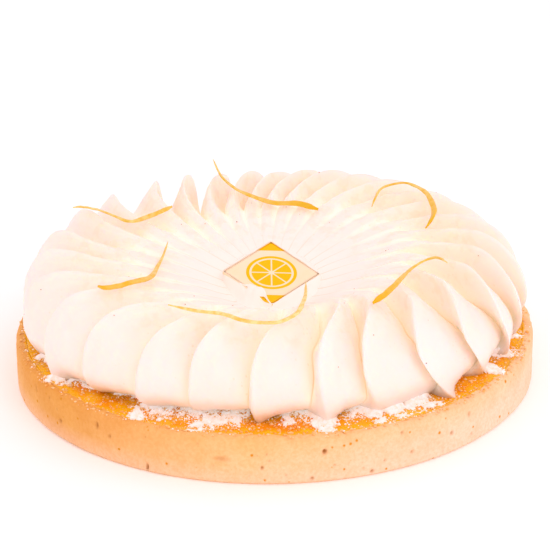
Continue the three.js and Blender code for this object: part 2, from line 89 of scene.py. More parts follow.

# %% [markdown]
# ## Three tools for making food
#
# Food is never smooth. Every surface below starts as a grid of points worked out by a formula, and
# is then pushed in and out a little by *lumps*: a random relief that is smooth between the corners
# of a lattice. A Displace modifier does much the same. Doing it in numpy lets one formula use the
# radius, the height or the place along a stroke, and it stays in the mesh itself.

# %% A repeatable random relief
def hashed(cells, seed):
    """One number from -1 to 1 for every whole-numbered cell, the same on each run."""
    x, y, z = ((cells[:, k] & 0xFFFFFFFF).astype(np.uint32) for k in range(3))
    mixed = x * np.uint32(73856093) ^ y * np.uint32(19349663) ^ z * np.uint32(83492791)
    mixed ^= np.uint32(seed * 374761393 & 0xFFFFFFFF)
    mixed = (mixed ^ (mixed >> np.uint32(13))) * np.uint32(1274126177)
    mixed ^= mixed >> np.uint32(16)
    return mixed / 2.0**31 - 1


def lumps(points, size, seed):
    """Relief from -1 to 1 at each point, with bumps about `size` across."""
    place = points / size + 7.3 * seed
    cells = np.floor(place).astype(np.int64)
    part = place - cells
    part = part * part * (3 - 2 * part)
    relief = np.zeros(len(points))
    for corner in itertools.product((0, 1), repeat=3):
        step = np.array(corner)
        weight = np.where(step == 1, part, 1 - part).prod(axis=1)
        relief += weight * hashed(cells + step, seed)
    return relief


def smooth(t):
    """Eases from 0 to 1 while t goes from 0 to 1, and stays there on either side."""
    t = np.clip(t, 0, 1)
    return t * t * (3 - 2 * t)


def mix(a, b, t):
    return a + (b - a) * t


def polar(radius, azimuth, z):
    """Points at a radius and an azimuth in degrees, as rows of x, y, z."""
    turned_by = np.radians(azimuth)
    return np.stack(np.broadcast_arrays(radius * np.cos(turned_by), radius * np.sin(turned_by), z), -1)


print("relief of one point:", lumps(np.array([[1.0, 2.0, 3.0]]), 5, 1))


# %% [markdown]
# Grids become meshes with two small helpers. Values that a material needs, such as how deep a
# point lies in a groove, are stored on the mesh as named attributes.

# %% From grids to pieces
def grid_faces(rows, columns, around=False):
    """Faces between neighbouring rows; `around` also joins the last column to the first."""
    across = np.arange(columns if around else columns - 1)
    row = np.arange(rows - 1)[:, None] * columns
    following = (across + 1) % columns
    corners = [row + across, row + following, row + columns + following, row + columns + across]
    return np.stack(corners, -1).reshape(-1, 4)


def grid_normals(grid, around=False):
    """Unit normals of a grid of points, from the directions to its neighbours."""
    along = np.gradient(grid, axis=0)
    if around:
        across = (np.roll(grid, -1, axis=1) - np.roll(grid, 1, axis=1)) / 2
    else:
        across = np.gradient(grid, axis=1)
    normal = np.cross(across, along)
    return normal / np.maximum(np.linalg.norm(normal, axis=-1, keepdims=True), 1e-9)


def make_piece(name, points, faces, material, replaces=(), slot=None, sharp_from=180, **attributes):
    """A mesh object from points in millimetres, riding on the pie. Edges that fold by more
    than a number of degrees stay sharp."""
    mesh = bpy.data.meshes.new(name)
    mesh.from_pydata((points * MM).tolist(), [], faces.tolist() if hasattr(faces, "tolist") else faces)
    mesh.shade_smooth()
    mesh.set_sharp_from_angle(angle=math.radians(sharp_from))
    mesh.materials.append(material)
    for key, values in attributes.items():
        layer = mesh.attributes.new(key, "FLOAT", "POINT")
        layer.data.foreach_set("value", np.asarray(values, np.float32).ravel())
    piece = bpy.data.objects.new(name, mesh)
    bpy.context.scene.collection.objects.link(piece)
    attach(piece, "root")
    if replaces:
        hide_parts(*replaces)
    return piece


def triangles(piece):
    return sum(len(face.vertices) - 2 for face in piece.data.polygons)


print("faces of a 3 by 4 grid:", len(grid_faces(3, 4)))

# %% [markdown]
# ## Finishes
#
# All the baked and whipped parts share one look at close range: a fine crumb. It is built once as
# a shader node group, *Crumb*, and each material asks it for its own grain size. A second group,
# *Flecks*, gives scattered spots, and a third, *Patches*, wanders between two colours. The groups
# read the object's own coordinates, so the pattern stays put whichever side the pie is seen from.

# %% Small helpers for node trees
def add(tree, kind, inputs=None, **settings):
    """Adds a shader node, sets its options, and gives its inputs values or links."""
    made = tree.nodes.new("ShaderNode" + kind)
    for key, value in settings.items():
        setattr(made, key, value)
    for key, value in (inputs or {}).items():
        if isinstance(value, bpy.types.NodeSocket):
            tree.links.new(value, made.inputs[key])
        else:
            made.inputs[key].default_value = value
    return made


def mix_colour(tree, amount, under, over, way="MIX"):
    """Lays one colour over another by an amount from 0 to 1."""
    made = add(tree, "Mix", {0: amount, 6: under, 7: over}, data_type="RGBA", blend_type=way)
    return made.outputs[2]


def ranged(tree, value, low, high, to_low=0.0, to_high=1.0):
    """Maps a value from one range to another, and holds it there."""
    inputs = {"Value": value, "From Min": low, "From Max": high, "To Min": to_low, "To Max": to_high}
    return add(tree, "MapRange", inputs).outputs["Result"]


def calculate(tree, operation, a, b=0.0):
    return add(tree, "Math", {0: a, 1: b}, operation=operation).outputs[0]


def stored(tree, key):
    """An attribute that was stored on the mesh, as a value."""
    return add(tree, "Attribute", attribute_name=key).outputs["Fac"]


def colour(red, green, blue):
    """A colour in linear light with full alpha."""
    return (red, green, blue, 1.0)


def new_group(name, inputs, outputs):
    """An empty node group with its sockets: inputs as name: (type, value), outputs as name: type."""
    tree = bpy.data.node_groups.new(name, "ShaderNodeTree")
    for key, (kind, value) in inputs.items():
        tree.interface.new_socket(key, in_out="INPUT", socket_type=kind).default_value = value
    for key, kind in outputs.items():
        tree.interface.new_socket(key, in_out="OUTPUT", socket_type=kind)
    return tree, tree.nodes.new("NodeGroupInput").outputs, tree.nodes.new("NodeGroupOutput").inputs


print("helpers ready")

# %% The shared groups: Crumb, Flecks and Patches
FLOAT, COLOUR = "NodeSocketFloat", "NodeSocketColor"
COARSE_SHARE = 0.7                  # how much of the crumb's height comes from its coarse grains


def object_place(tree):
    return add(tree, "TexCoord").outputs["Object"]


def noise(tree, place, grains_per_metre, detail=2.0, roughness=0.5):
    inputs = {"Vector": place, "Scale": grains_per_metre, "Detail": detail, "Roughness": roughness}
    return add(tree, "TexNoise", inputs).outputs[0]


def crumb_group():
    """Height of a crumbly surface: coarse crumbs with fine grains on them."""
    tree, given, result = new_group("Crumb", {"Grain": (FLOAT, 1500.0)}, {"Height": FLOAT, "Tone": FLOAT})
    place = object_place(tree)
    coarse = noise(tree, place, given["Grain"], 3.0, 0.65)
    fine = noise(tree, place, calculate(tree, "MULTIPLY", given["Grain"], 3.1), 1.0)
    coarse_part = calculate(tree, "MULTIPLY", coarse, COARSE_SHARE)
    fine_part = calculate(tree, "MULTIPLY", fine, 1 - COARSE_SHARE)
    height = calculate(tree, "ADD", coarse_part, fine_part)
    tree.links.new(height, result["Height"])
    tree.links.new(ranged(tree, coarse, 0.35, 0.65), result["Tone"])
    return tree


def flecks_group():
    """A mask of separate spots. More of them show as Share rises."""
    inputs = {"Spots": (FLOAT, 400.0), "Share": (FLOAT, 0.1)}
    tree, given, result = new_group("Flecks", inputs, {"Mask": FLOAT})
    cells = add(tree, "TexVoronoi", {"Vector": object_place(tree), "Scale": given["Spots"]})
    chosen = add(tree, "SeparateColor", {0: cells.outputs["Color"]}).outputs[0]
    here = calculate(tree, "LESS_THAN", chosen, given["Share"])
    size = calculate(tree, "MULTIPLY", chosen, 1.5)
    outside = calculate(tree, "SUBTRACT", cells.outputs["Distance"], size)
    round_spot = ranged(tree, outside, 0.10, 0.26, 1.0, 0.0)
    tree.links.new(calculate(tree, "MULTIPLY", here, round_spot), result["Mask"])
    return tree


def patches_group():
    """Wanders between two colours in soft patches."""
    inputs = {
        "Patches": (FLOAT, 60.0),
        "Low": (COLOUR, colour(1, 1, 1)),
        "High": (COLOUR, colour(1, 1, 1)),
    }
    tree, given, result = new_group("Patches", inputs, {"Color": COLOUR, "Mask": FLOAT})
    wander = ranged(tree, noise(tree, object_place(tree), given["Patches"], 3.0), 0.38, 0.62)
    tree.links.new(mix_colour(tree, wander, given["Low"], given["High"]), result["Color"])
    tree.links.new(wander, result["Mask"])
    return tree


CRUMB, FLECKS, PATCHES = crumb_group(), flecks_group(), patches_group()
print("groups:", [group.name for group in (CRUMB, FLECKS, PATCHES)])


# %% Using the groups in a material
def new_material(name, **values):
    """A material with its Principled shader, whose plain values are set on the shader itself."""
    material = bpy.data.materials.new(name)
    material.use_nodes = True
    shader = material.node_tree.nodes["Principled BSDF"]
    for key, value in values.items():
        shader.inputs[key.replace("_", " ")].default_value = value
    return material, material.node_tree, shader


def use(tree, group, **inputs):
    """Places a shared group in a material with the material's own values."""
    made = tree.nodes.new("ShaderNodeGroup")
    made.node_tree = group
    for key, value in inputs.items():
        if isinstance(value, bpy.types.NodeSocket):
            tree.links.new(value, made.inputs[key])
        else:
            made.inputs[key].default_value = value
    return made.outputs


def bump(tree, shader, height, depth, strength=1.0):
    """Gives a shader a relief too fine for the mesh; depth is in millimetres."""
    made = add(tree, "Bump", {"Height": height, "Distance": depth * MM, "Strength": strength})
    tree.links.new(made.outputs[0], shader.inputs["Normal"])


# %% [markdown]
# ## The pastry shell
#
# The shell is sweet pastry baked in a ring, so its wall is straight and flat, pale gold, sandy, and
# pricked all over with tiny holes where butter melted and steam left. A lathed profile gives the
# form. The wall is then a fine grid, two points to the millimetre, so that the pits, the dents and
# the crumbly rim are real shape. Bump in the material only adds the grains that are finer still.

# %% Where the rim goes up and down
SHELL_RADIUS, SHELL_HEIGHT, SHELL_WALL, SHELL_FLOOR = 110, 20, 4.6, 4
EDGE_ROUND, FOOT_ROUND, RIM_UNEVEN = 2.2, 1.2, 0.35
CURD_TOP, CURD_EDGE_RISE, CURD_EDGE_WIDTH, GAP = 18.8, 0.5, 1.8, 0.35
SHELL_INNER = SHELL_RADIUS - SHELL_WALL
CURD_EDGE = SHELL_INNER - 0.02      # the curd has baked onto the pastry


def rim_height(azimuth):
    wander = np.sin(np.radians(azimuth * 3 + 40)) + np.sin(np.radians(azimuth * 7))
    return SHELL_HEIGHT + RIM_UNEVEN * wander * 0.5


def rim_surface(radius, azimuth):
    """Height of the curd, the rim or the rim's outer edge under a point of the plan."""
    up = rim_height(azimuth)
    flat = np.interp(radius, [CURD_EDGE - CURD_EDGE_WIDTH, CURD_EDGE, SHELL_INNER],
                     [CURD_TOP, CURD_TOP + CURD_EDGE_RISE, SHELL_HEIGHT - EDGE_ROUND * 0.5])
    rise = smooth((radius - SHELL_INNER) / (EDGE_ROUND * 0.5))
    over = np.clip(radius - (SHELL_RADIUS - EDGE_ROUND), 0, EDGE_ROUND)
    return mix(flat, up, rise) - (EDGE_ROUND - np.sqrt(EDGE_ROUND**2 - over**2)) * (over > 0)


print("rim at the front:", float(rim_surface(np.array(107.0), np.array(270.0))))

# %% The shell's profile
WALL_ROWS, ROUND_ROWS, SHELL_COLUMNS = 36, 7, 1320


def shell_profile():
    """Rows of (radius, height, drop): drop is measured down from the rim, which wanders."""
    rows = [(40, 0, None), (90, 0, None), (SHELL_RADIUS - FOOT_ROUND, 0, None)]
    for k in range(WALL_ROWS):
        rows.append((SHELL_RADIUS, None, mix(SHELL_HEIGHT - FOOT_ROUND, EDGE_ROUND, k / (WALL_ROWS - 1))))
    for k in range(1, ROUND_ROWS + 1):
        angle = math.pi / 2 * k / ROUND_ROWS
        inward, down = EDGE_ROUND * (1 - math.cos(angle)), EDGE_ROUND * (1 - math.sin(angle))
        rows.append((SHELL_RADIUS - inward, None, down))
    inner_round = EDGE_ROUND * 0.5
    for k in range(1, 4):
        rows.append((mix(SHELL_RADIUS - EDGE_ROUND, SHELL_INNER + inner_round, k / 3), None, 0))
    for k in range(1, 4):
        angle = math.pi / 2 * k / 3
        outward, down = inner_round * (1 - math.sin(angle)), inner_round * (1 - math.cos(angle))
        rows.append((SHELL_INNER + outward, None, down))
    rows += [(SHELL_INNER, None, 3), (SHELL_INNER, SHELL_FLOOR, None), (40, SHELL_FLOOR, None)]
    return rows


def lathe(rows, columns):
    """Grid of points for a profile of rows, and the azimuth of each column."""
    azimuth = np.arange(columns) * 360 / columns
    grid = []
    for radius, height, drop in rows:
        z = rim_height(azimuth) - drop if height is None else np.full(columns, float(height))
        grid.append(polar(np.full(columns, float(radius)), azimuth, z))
    return np.array(grid), azimuth


def close_ends(grid, faces):
    """Adds a middle point below the first row and one above the last, and fans them shut."""
    rows, columns = grid.shape[:2]
    points = grid.reshape(-1, 3)
    ends = np.array([[0, 0, grid[0, :, 2].mean()], [0, 0, grid[-1, :, 2].mean()]])
    first, last = len(points), len(points) + 1
    ring = np.arange(columns)
    top = (rows - 1) * columns
    fans = [[first, (k + 1) % columns, k] for k in ring]
    fans += [[last, top + k, top + (k + 1) % columns] for k in ring]
    return np.vstack([points, ends]), faces.tolist() + fans


shell_grid, shell_azimuth = lathe(shell_profile(), SHELL_COLUMNS)
print("shell grid:", shell_grid.shape)

# %% [markdown]
# The marks on the wall are placed by azimuth and height: a few that stand out at the front, and a
# couple of hundred small ones at random all round. Each is a smooth dip with its own width, height
# and depth. The same numbers also paint shade into the dip, through an attribute.

# %% Pits and dents in the wall
# azimuth, height above the table, half width, half height, depth, all but the first in mm
WALL_MARKS = [
    (279.8, 13.5, 0.85, 1.05, 1.3), (267.1, 7.7, 0.55, 0.75, 0.9), (277.2, 2.4, 0.8, 0.7, 0.7),
    (258.8, 10.8, 2.9, 1.1, 0.4), (230.0, 14.4, 0.7, 1.4, 0.8), (218.1, 8.6, 0.8, 0.8, 0.7),
    (207.5, 15.0, 0.5, 1.6, 0.5), (233.4, 11.5, 0.6, 0.8, 0.6), (242.6, 2.2, 0.5, 1.7, 1.0),
    (309.3, 9.0, 0.9, 0.8, 0.7), (314.3, 14.0, 0.7, 1.2, 0.5), (298.9, 6.7, 0.6, 0.6, 0.6),
    (289.8, 2.2, 0.8, 0.7, 0.8), (296.5, 16.2, 0.6, 0.7, 0.6), (292.6, 5.8, 0.5, 0.5, 0.5),
]
PIN_HOLES = 150
# The painted shade in a pit is darkest from this depth on.
PIT_SHADE_DEPTH = 1.1                  # depth in mm at which a mark looks darkest


def wall_marks():
    """The placed marks and the random ones, as rows of numbers."""
    rng = np.random.default_rng(11)
    width = 0.26 + 0.3 * rng.random(PIN_HOLES) ** 3
    random_marks = np.stack([
        rng.uniform(0, 360, PIN_HOLES),
        rng.uniform(1.6, 17.5, PIN_HOLES),
        width,
        width * rng.uniform(0.8, 1.5, PIN_HOLES),
        width * rng.uniform(0.5, 1.1, PIN_HOLES),
    ], -1)
    return np.vstack([WALL_MARKS, random_marks])


def dip_depth(azimuth, height):
    """How far the wall is pushed in at each point, in mm."""
    depth = np.zeros(azimuth.shape)
    for mark_azimuth, mark_height, half_width, half_height, deep in wall_marks():
        around = (azimuth - mark_azimuth + 180) % 360 - 180
        near = np.abs(around) < 4
        sideways = np.radians(around[near]) * SHELL_RADIUS / half_width
        upward = (height[near] - mark_height) / half_height
        depth[near] = np.maximum(depth[near], deep * np.exp(-(sideways**2 + upward**2) ** 1.4))
    return depth


# %% Push the wall and the rim about
WALL_WAVES = ((30, 0.22), (7, 0.12), (2.4, 0.09), (1.2, 0.07))     # size and height, mm
RIM_WAVES = ((9, 0.30), (3.2, 0.34), (1.4, 0.22))
STREAK = (1.5, 0.045)               # fine upright streaks left by the ring
GLAZE_TO = 107.2                    # the curd has baked onto the rim out to this radius


def rough_shell(grid, azimuth):
    """The grid pushed along its normals, with how deep each mark is and how near the rim it is."""
    flat = grid.reshape(-1, 3)
    radius = np.linalg.norm(flat[:, :2], axis=1)
    height = flat[:, 2]
    turned_to = np.broadcast_to(azimuth, grid.shape[:2]).ravel()
    on_wall = smooth((radius - 109) / 0.8) * smooth(height / 1.5)
    on_rim = smooth((height - 17.0) / 1.5) * smooth((radius - SHELL_INNER) / 0.5)
    push = sum(high * lumps(flat, size, 20 + k) for k, (size, high) in enumerate(WALL_WAVES)) * on_wall
    push += STREAK[1] * lumps(flat * [1, 1, 0.12], STREAK[0], 31) * on_wall
    push += sum(high * lumps(flat, size, 40 + k) for k, (size, high) in enumerate(RIM_WAVES)) * on_rim
    push -= 0.18 * on_rim
    dips = dip_depth(turned_to, height) * on_wall
    normals = -grid_normals(grid, around=True).reshape(-1, 3)
    outward = np.sign((normals * polar(1.0, turned_to, 0.6)).sum(axis=1))
    moved = flat + normals * ((push - dips) * outward)[:, None]
    moved[:, 2] = np.maximum(moved[:, 2], 0)
    glazed = smooth((height - 18.2) / 0.8) * smooth((GLAZE_TO - radius) / 1.6)
    return moved.reshape(grid.shape), np.clip(dips / PIT_SHADE_DEPTH, 0, 1), glazed


shell_grid, shell_pit_shade, shell_rim = rough_shell(shell_grid, shell_azimuth)
print("deepest mark:", round(float(shell_pit_shade.max()), 2))

# %% [markdown]
# Sweet pastry browns unevenly. Its colour first follows a slow gradient across the pie, which is
# painted light and shade: pale on the lit side, deeper gold on the side away from the lamp. Then it
# wanders in soft patches, and it is painted darker in the pits, as painted shade. Along the rim the
# filling has run over and baked on: there the colour turns to amber and the surface shines.

# %% The pastry's finish
# Painted light and shade: the pastry is painted palest towards this azimuth, as if lit, and deeper gold away from
# it.
LIT_SIDE = 335                     # azimuth of the palest side
PASTRY_PALE, PASTRY_CREAM = colour(0.95, 0.79, 0.60), colour(0.92, 0.73, 0.53)
PASTRY_SAND, PASTRY_HONEY = colour(0.94, 0.67, 0.36), colour(0.92, 0.63, 0.30)
PASTRY_GOLD, PASTRY_AMBER = colour(0.73, 0.36, 0.035), colour(0.68, 0.30, 0.02)
PASTRY_TOASTED, PASTRY_BOTTOM = colour(0.97, 0.82, 0.50), colour(0.97, 0.76, 0.60)
PASTRY_SANDY = colour(0.93, 0.80, 0.62)
# PASTRY_PIT_SHADE is painted shade for the pits and dents.
PASTRY_PIT_SHADE, RIM_GLAZE = colour(0.40, 0.17, 0.04), colour(0.97, 0.55, 0.02)


def facing(tree, azimuth):
    """0 on the far side of the pie and 1 on the side that lies at the azimuth."""
    way = Vector((math.cos(math.radians(azimuth)), math.sin(math.radians(azimuth)), 0))
    inputs = {0: object_place(tree), 1: way}
    along = add(tree, "VectorMath", inputs, operation="DOT_PRODUCT").outputs["Value"]
    return ranged(tree, along, -SHELL_RADIUS * MM, SHELL_RADIUS * MM)


def pastry_material():
    material, tree, shader = new_material("pastry", Roughness=0.85, Specular_IOR_Level=0.12)
    pale = use(tree, PATCHES, Patches=90.0, Low=PASTRY_PALE, High=PASTRY_CREAM)["Color"]
    sand = use(tree, PATCHES, Patches=90.0, Low=PASTRY_SAND, High=PASTRY_HONEY)["Color"]
    gold = use(tree, PATCHES, Patches=90.0, Low=PASTRY_GOLD, High=PASTRY_AMBER)["Color"]
    # Painted light and shade across the pie: deep gold on the side away from the lamp, pale on the lit side.
    side = facing(tree, LIT_SIDE)
    base = mix_colour(tree, ranged(tree, side, 0.15, 0.66), gold, sand)
    base = mix_colour(tree, ranged(tree, side, 0.30, 0.10, 0.0, 0.55), base, sand)
    base = mix_colour(tree, ranged(tree, side, 0.66, 1.0), base, pale)
    height = add(tree, "SeparateXYZ", {0: object_place(tree)}).outputs[2]
    base = mix_colour(tree, ranged(tree, height, 0.010, 0.019, 0.0, 0.55), base, PASTRY_TOASTED, "MULTIPLY")
    base = mix_colour(tree, ranged(tree, height, 0.009, 0.001, 0.0, 0.5), base, PASTRY_BOTTOM)
    crumb = use(tree, CRUMB, Grain=900.0)
    base = mix_colour(tree, calculate(tree, "MULTIPLY", crumb["Tone"], 0.18), base, PASTRY_GOLD)
    sandy = ranged(tree, use(tree, PATCHES, Patches=620.0)["Mask"], 0.35, 0.75, 0.0, 0.30)
    base = mix_colour(tree, sandy, base, PASTRY_SANDY, "MULTIPLY")
    base = mix_colour(tree, use(tree, FLECKS, Spots=420.0, Share=0.08)["Mask"], base, PASTRY_AMBER)
    wandering = calculate(tree, "MULTIPLY", use(tree, PATCHES, Patches=330.0)["Mask"], 0.5)
    glazed = ranged(tree, calculate(tree, "ADD", stored(tree, "rim"), wandering), 0.62, 1.0)
    base = mix_colour(tree, glazed, base, RIM_GLAZE)
    # Painted shade in the pits and dents, darker the deeper each one is.
    base = mix_colour(tree, stored(tree, "mark"), base, PASTRY_PIT_SHADE)
    tree.links.new(base, shader.inputs["Base Color"])
    tree.links.new(ranged(tree, glazed, 0, 1, 0.82, 0.38), shader.inputs["Roughness"])
    bump(tree, shader, crumb["Height"], 0.35, 0.55)
    return material


def build_shell():
    points, faces = close_ends(shell_grid, grid_faces(*shell_grid.shape[:2], around=True))
    two = [0, 0]
    return make_piece("pastry_shell", points, faces, pastry_material(), ["crust"], "pastry",
                      mark=np.append(shell_pit_shade, two), rim=np.append(shell_rim, two))


shell = build_shell()
print("pastry shell:", triangles(shell), "triangles")

# %% [markdown]
# ## The lemon curd
#
# The curd is hidden but for a band between the meringue and the rim, where it is glossy, deep
# orange and slightly lumpy. It is one disc. Only the band has fine rows; the middle, under the
# meringue, needs none.

# %% The curd's surface
CURD_COLUMNS, CURD_BAND_FROM, CURD_BAND_ROWS = 840, 76, 44
CURD_WAVES = ((11, 0.22), (4, 0.13), (1.8, 0.05))


def curd_grid():
    rows = [(40, SHELL_FLOOR, None), (CURD_EDGE, SHELL_FLOOR, None)]
    grid, azimuth = lathe(rows, CURD_COLUMNS)
    radii = np.linspace(CURD_EDGE, CURD_BAND_FROM, CURD_BAND_ROWS)
    top = np.array([polar(r, azimuth, rim_surface(np.full(CURD_COLUMNS, r), azimuth)) for r in radii])
    flat = top.reshape(-1, 3)
    inside = np.clip((CURD_EDGE - np.linalg.norm(flat[:, :2], axis=1)) / 1.0, 0, 1)
    flat[:, 2] += inside * sum(high * lumps(flat, size, 60 + k) for k, (size, high) in enumerate(CURD_WAVES))
    middle = polar(30.0, azimuth, CURD_TOP)[None]
    return np.concatenate([grid, flat.reshape(top.shape), middle])


CURD_DEEP, CURD_BRIGHT = colour(0.92, 0.31, 0.003), colour(0.98, 0.53, 0.004)
CURD_EDGE_GOLD = colour(0.98, 0.54, 0.01)


def curd_material():
    material, tree, shader = new_material(
        "lemon_curd", Roughness=0.3, Subsurface_Weight=0.12, Subsurface_Scale=0.003,
        Specular_IOR_Level=0.12)
    shader.inputs["Subsurface Radius"].default_value = (1.0, 0.35, 0.05)
    base = use(tree, PATCHES, Patches=110.0, Low=CURD_DEEP, High=CURD_BRIGHT)["Color"]
    base = mix_colour(tree, stored(tree, "edge"), base, CURD_EDGE_GOLD)
    tree.links.new(base, shader.inputs["Base Color"])
    uneven_shine = ranged(tree, use(tree, PATCHES, Patches=420.0)["Mask"], 0, 1, 0.16, 0.36)
    tree.links.new(uneven_shine, shader.inputs["Roughness"])
    bump(tree, shader, use(tree, CRUMB, Grain=380.0)["Height"], 0.4, 0.35)
    return material


def build_curd():
    grid = curd_grid()
    points, faces = close_ends(grid, grid_faces(*grid.shape[:2], around=True))
    radius = np.linalg.norm(points[:, :2], axis=1)
    return make_piece("lemon_curd_band", points, faces, curd_material(), ["lemon_curd"], "curd",
                      edge=smooth((radius - 99) / 6))


curd = build_curd()
print("curd:", triangles(curd), "triangles")

# %% [markdown]
# ## The meringue petals
#
# Each petal is one stroke of a large nozzle: it starts as a fat blob on the curd at the rim, swells
# out, and is drawn up and in to the middle while the hand turns, so that all of them curl the same
# way. One side of a stroke is steep, where it was laid against the last one, and the other is broad
# and round. A petal can be sculpted, or made by bending a swept curve. Here it is a formula, the
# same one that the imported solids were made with, so the fine petal fits its solid, and one function
# makes all twenty-nine of them, each a little different.

# %% The ring's sizes
PETAL_AZIMUTHS = [
    191, 207.5, 222, 237.5, 250.3, 264.5, 279.5, 290, 304, 318.5, 332.5, 344.5, 357, 369, 381,
    393, 405, 416, 425.5, 434, 442.5, 451, 460.5, 470.5, 481, 496, 510, 524, 537.5,
]
PETALS = len(PETAL_AZIMUTHS)
RING_RADIUS, RING_OVAL, RING_BACK, RADIUS_UNEVEN, HEIGHT_UNEVEN = 104.3, 3, 1.2, 0.9, 1.1
BULB_RADIUS, BULB_MIDDLE, BULB_DROP = 22, 31.5, 17.5
CREST_TOP, CREST_BACK, CREST_QUARTERS, CREST_SAG = 58.6, 0.7, 3.5, 1.4
INNER_RADIUS, INNER_TOP, INNER_TILT = 22, 40.4, 5.5
SEAM_SETBACK, SEAM_BULB_RADIUS, SEAM_MIDDLE, SEAM_DROP, SEAM_TOP = 7, 28, 26.8, 12.8, 42.3
SEAM_SHARE_MORE, SEAM_SHIFT = 0.37, 18
STEEP_POWERS, BROAD_POWERS = (1.2, 1.6, 0.7), (2, 0.62)     # at the bulge, on top and at the foot
FOOT_LOBE, FOOT_BLEND = 0.3, 1.5
TURN, TURN_REACH = 24, 31
GROOVE_CLOSES, GROOVE_END = 0.4, 0
SEAM_SHARE_FOOT = 0.1
SLANT_FROM, SLANT_POWER = 42, 1.5   # height where a petal starts to lean towards its foot

# %% How the petals change round the ring
# Each row of these tables starts with an azimuth.
# The share of the pitch that the steep side takes at the bulge. Below 0 the crest hangs over.
SEAM_SHARES = [
    (180, 0.18), (270, 0.18), (280, 0.1), (290, -0.05), (304, -0.28), (318.5, -0.36), (345, -0.36),
    (385, 0.18), (540, 0.18),
]
# How soon a broad side falls away from its crest: 0 is full and round, 1 is straight.
SLACKS = [(180, 0), (272, 0), (296, 0.65), (345, 0.75), (400, 0.3), (450, 0), (540, 0)]
# How deep the grooves stay on top, in mm.
GROOVE_DEPTHS = [
    (160, 0.4), (230, 0.7), (265, 2.2), (300, 2.6), (330, 1.6), (380, 1.3), (420, 2), (455, 3.5),
    (475, 6.5), (490, 5), (508, 2), (520, 0.4),
]
# Degrees that the tip of a foot stands past its bulge, then how many mm further out it is.
TIP_SHIFTS = [
    (180, 3, 0), (191, 2.5, 0.8), (207.5, 1.5, 3.4), (222, 0, -3), (237.5, -1, -4.5), (250.3, 0, -7),
    (264.5, 1, 0.3), (279.5, 2.4, 3.8), (290, 5.5, 0), (304, 10, 7), (318.5, 10, 2.7), (332.5, 7.5, 3),
    (350, 5, 0), (540, 3, 0),
]
# The same for the foot of a groove.
GROOVE_SHIFTS = [
    (180, 3, 0), (204.5, 1.7, 0.8), (219.4, 0.5, -4.5), (234.7, -1, -8), (248, -0.2, -4.7),
    (261.9, 0.8, -11), (278, -1.1, -8.3), (290.5, 1.35, -4.4), (307.9, 8.5, 3.8), (323.7, 6.1, -0.5),
    (337.5, 6.8, -0.3), (350, 5, -1), (540, 3, 0),
]
FOOT_TURN, FOOT_OUT = 1, 2


def around_ring(table, azimuth, column=1):
    """Reads one column of a table that goes once round the ring, at an azimuth between its rows."""
    columns = list(zip(*table))
    return np.interp(azimuth, columns[0], columns[column], period=360)


def uneven(index, kind):
    """A value from -1 to 1 that differs from petal to petal."""
    return math.sin(index * 2.399 + kind * 1.7) * math.cos(index * 1.31 + kind)


def crest_azimuth(i):
    return PETAL_AZIMUTHS[i % PETALS] + 360 * (i // PETALS)


def seam_azimuth(i, inward=SEAM_SETBACK, below=0):
    """The groove on a petal's clockwise side, at a distance in from the bulge or below it."""
    at_bulge = around_ring(SEAM_SHARES, crest_azimuth(i))
    share = at_bulge + SEAM_SHARE_MORE * smooth((inward - SEAM_SETBACK) / SEAM_SHIFT)
    share = mix(share, np.maximum(share, SEAM_SHARE_FOOT), below)
    return mix(crest_azimuth(i), crest_azimuth(i - 1), share)


def ring_radius(azimuth):
    return (RING_RADIUS + RING_OVAL * np.cos(np.radians(2 * azimuth))
            + RING_BACK * np.sin(np.radians(azimuth)))


def crest_top(azimuth):
    back = np.sin(np.radians(azimuth))
    return CREST_TOP + CREST_BACK * back + CREST_QUARTERS * np.maximum(0, back) * (1 - back**2)


def inner_top(azimuth):
    return INNER_TOP + INNER_TILT * np.sin(np.radians(azimuth))


def turned(inward):
    """Degrees that a stroke has turned at a distance in from its bulge."""
    return TURN * inward**2 / (inward**2 + TURN_REACH**2)


print("petals:", PETALS, "tallest crest:", round(float(max(crest_top(a) for a in PETAL_AZIMUTHS)), 1))

# %% Side lines: the crest of a petal and the groove beside it
BULB_ROWS, CREST_ROWS, TUCK_ROWS = 34, 44, 7
TUCK_LENGTH, TUCK_DROP = 7, 8       # the inner end rounds off and dips under the plaque
BURIED = 0.6                        # and the foot sinks this far into the curd


def side_line(reach, radius, middle, drop, top, inner_z, setback):
    """Rows of radius, height, distance in from the bulge, and how far below the bulge."""
    centre = reach - radius
    foot_angle = -math.asin((middle - CURD_TOP) / drop)
    angle = np.linspace(foot_angle, math.pi / 2, BULB_ROWS)
    r = centre + radius * np.cos(angle)
    z = middle + np.where(angle < 0, drop, top - middle) * np.sin(angle)
    inward = np.where(angle < 0, 0, reach - r)
    below = np.clip(angle / foot_angle, 0, 1)
    s = np.arange(1, CREST_ROWS + 1) / CREST_ROWS
    crest_r = mix(centre, INNER_RADIUS, s)
    crest_z = mix(top, inner_z, s**CREST_SAG)
    tuck = np.arange(1, TUCK_ROWS + 1) / TUCK_ROWS
    tuck_r = INNER_RADIUS - TUCK_LENGTH * np.sin(tuck * math.pi / 2)
    tuck_z = inner_z - TUCK_DROP * (1 - np.cos(tuck * math.pi / 2)) - 1.5 * tuck
    r = np.concatenate([r, crest_r, tuck_r])
    z = np.concatenate([z, crest_z, tuck_z])
    inward = np.concatenate([inward, reach - crest_r, reach - tuck_r]) + setback
    below = np.concatenate([below, np.zeros(CREST_ROWS + TUCK_ROWS)])
    return np.stack([r, z, inward, below], -1)


def crest_line(i):
    azimuth = crest_azimuth(i)
    reach = ring_radius(azimuth) + RADIUS_UNEVEN * uneven(i % PETALS, 1)
    top = crest_top(azimuth) + HEIGHT_UNEVEN * uneven(i % PETALS, 2)
    line = side_line(reach, BULB_RADIUS, BULB_MIDDLE, BULB_DROP, top, inner_top(azimuth + TURN), 0)
    line[:, 0] += around_ring(TIP_SHIFTS, azimuth, FOOT_OUT) * line[:, 3] ** 2
    return line


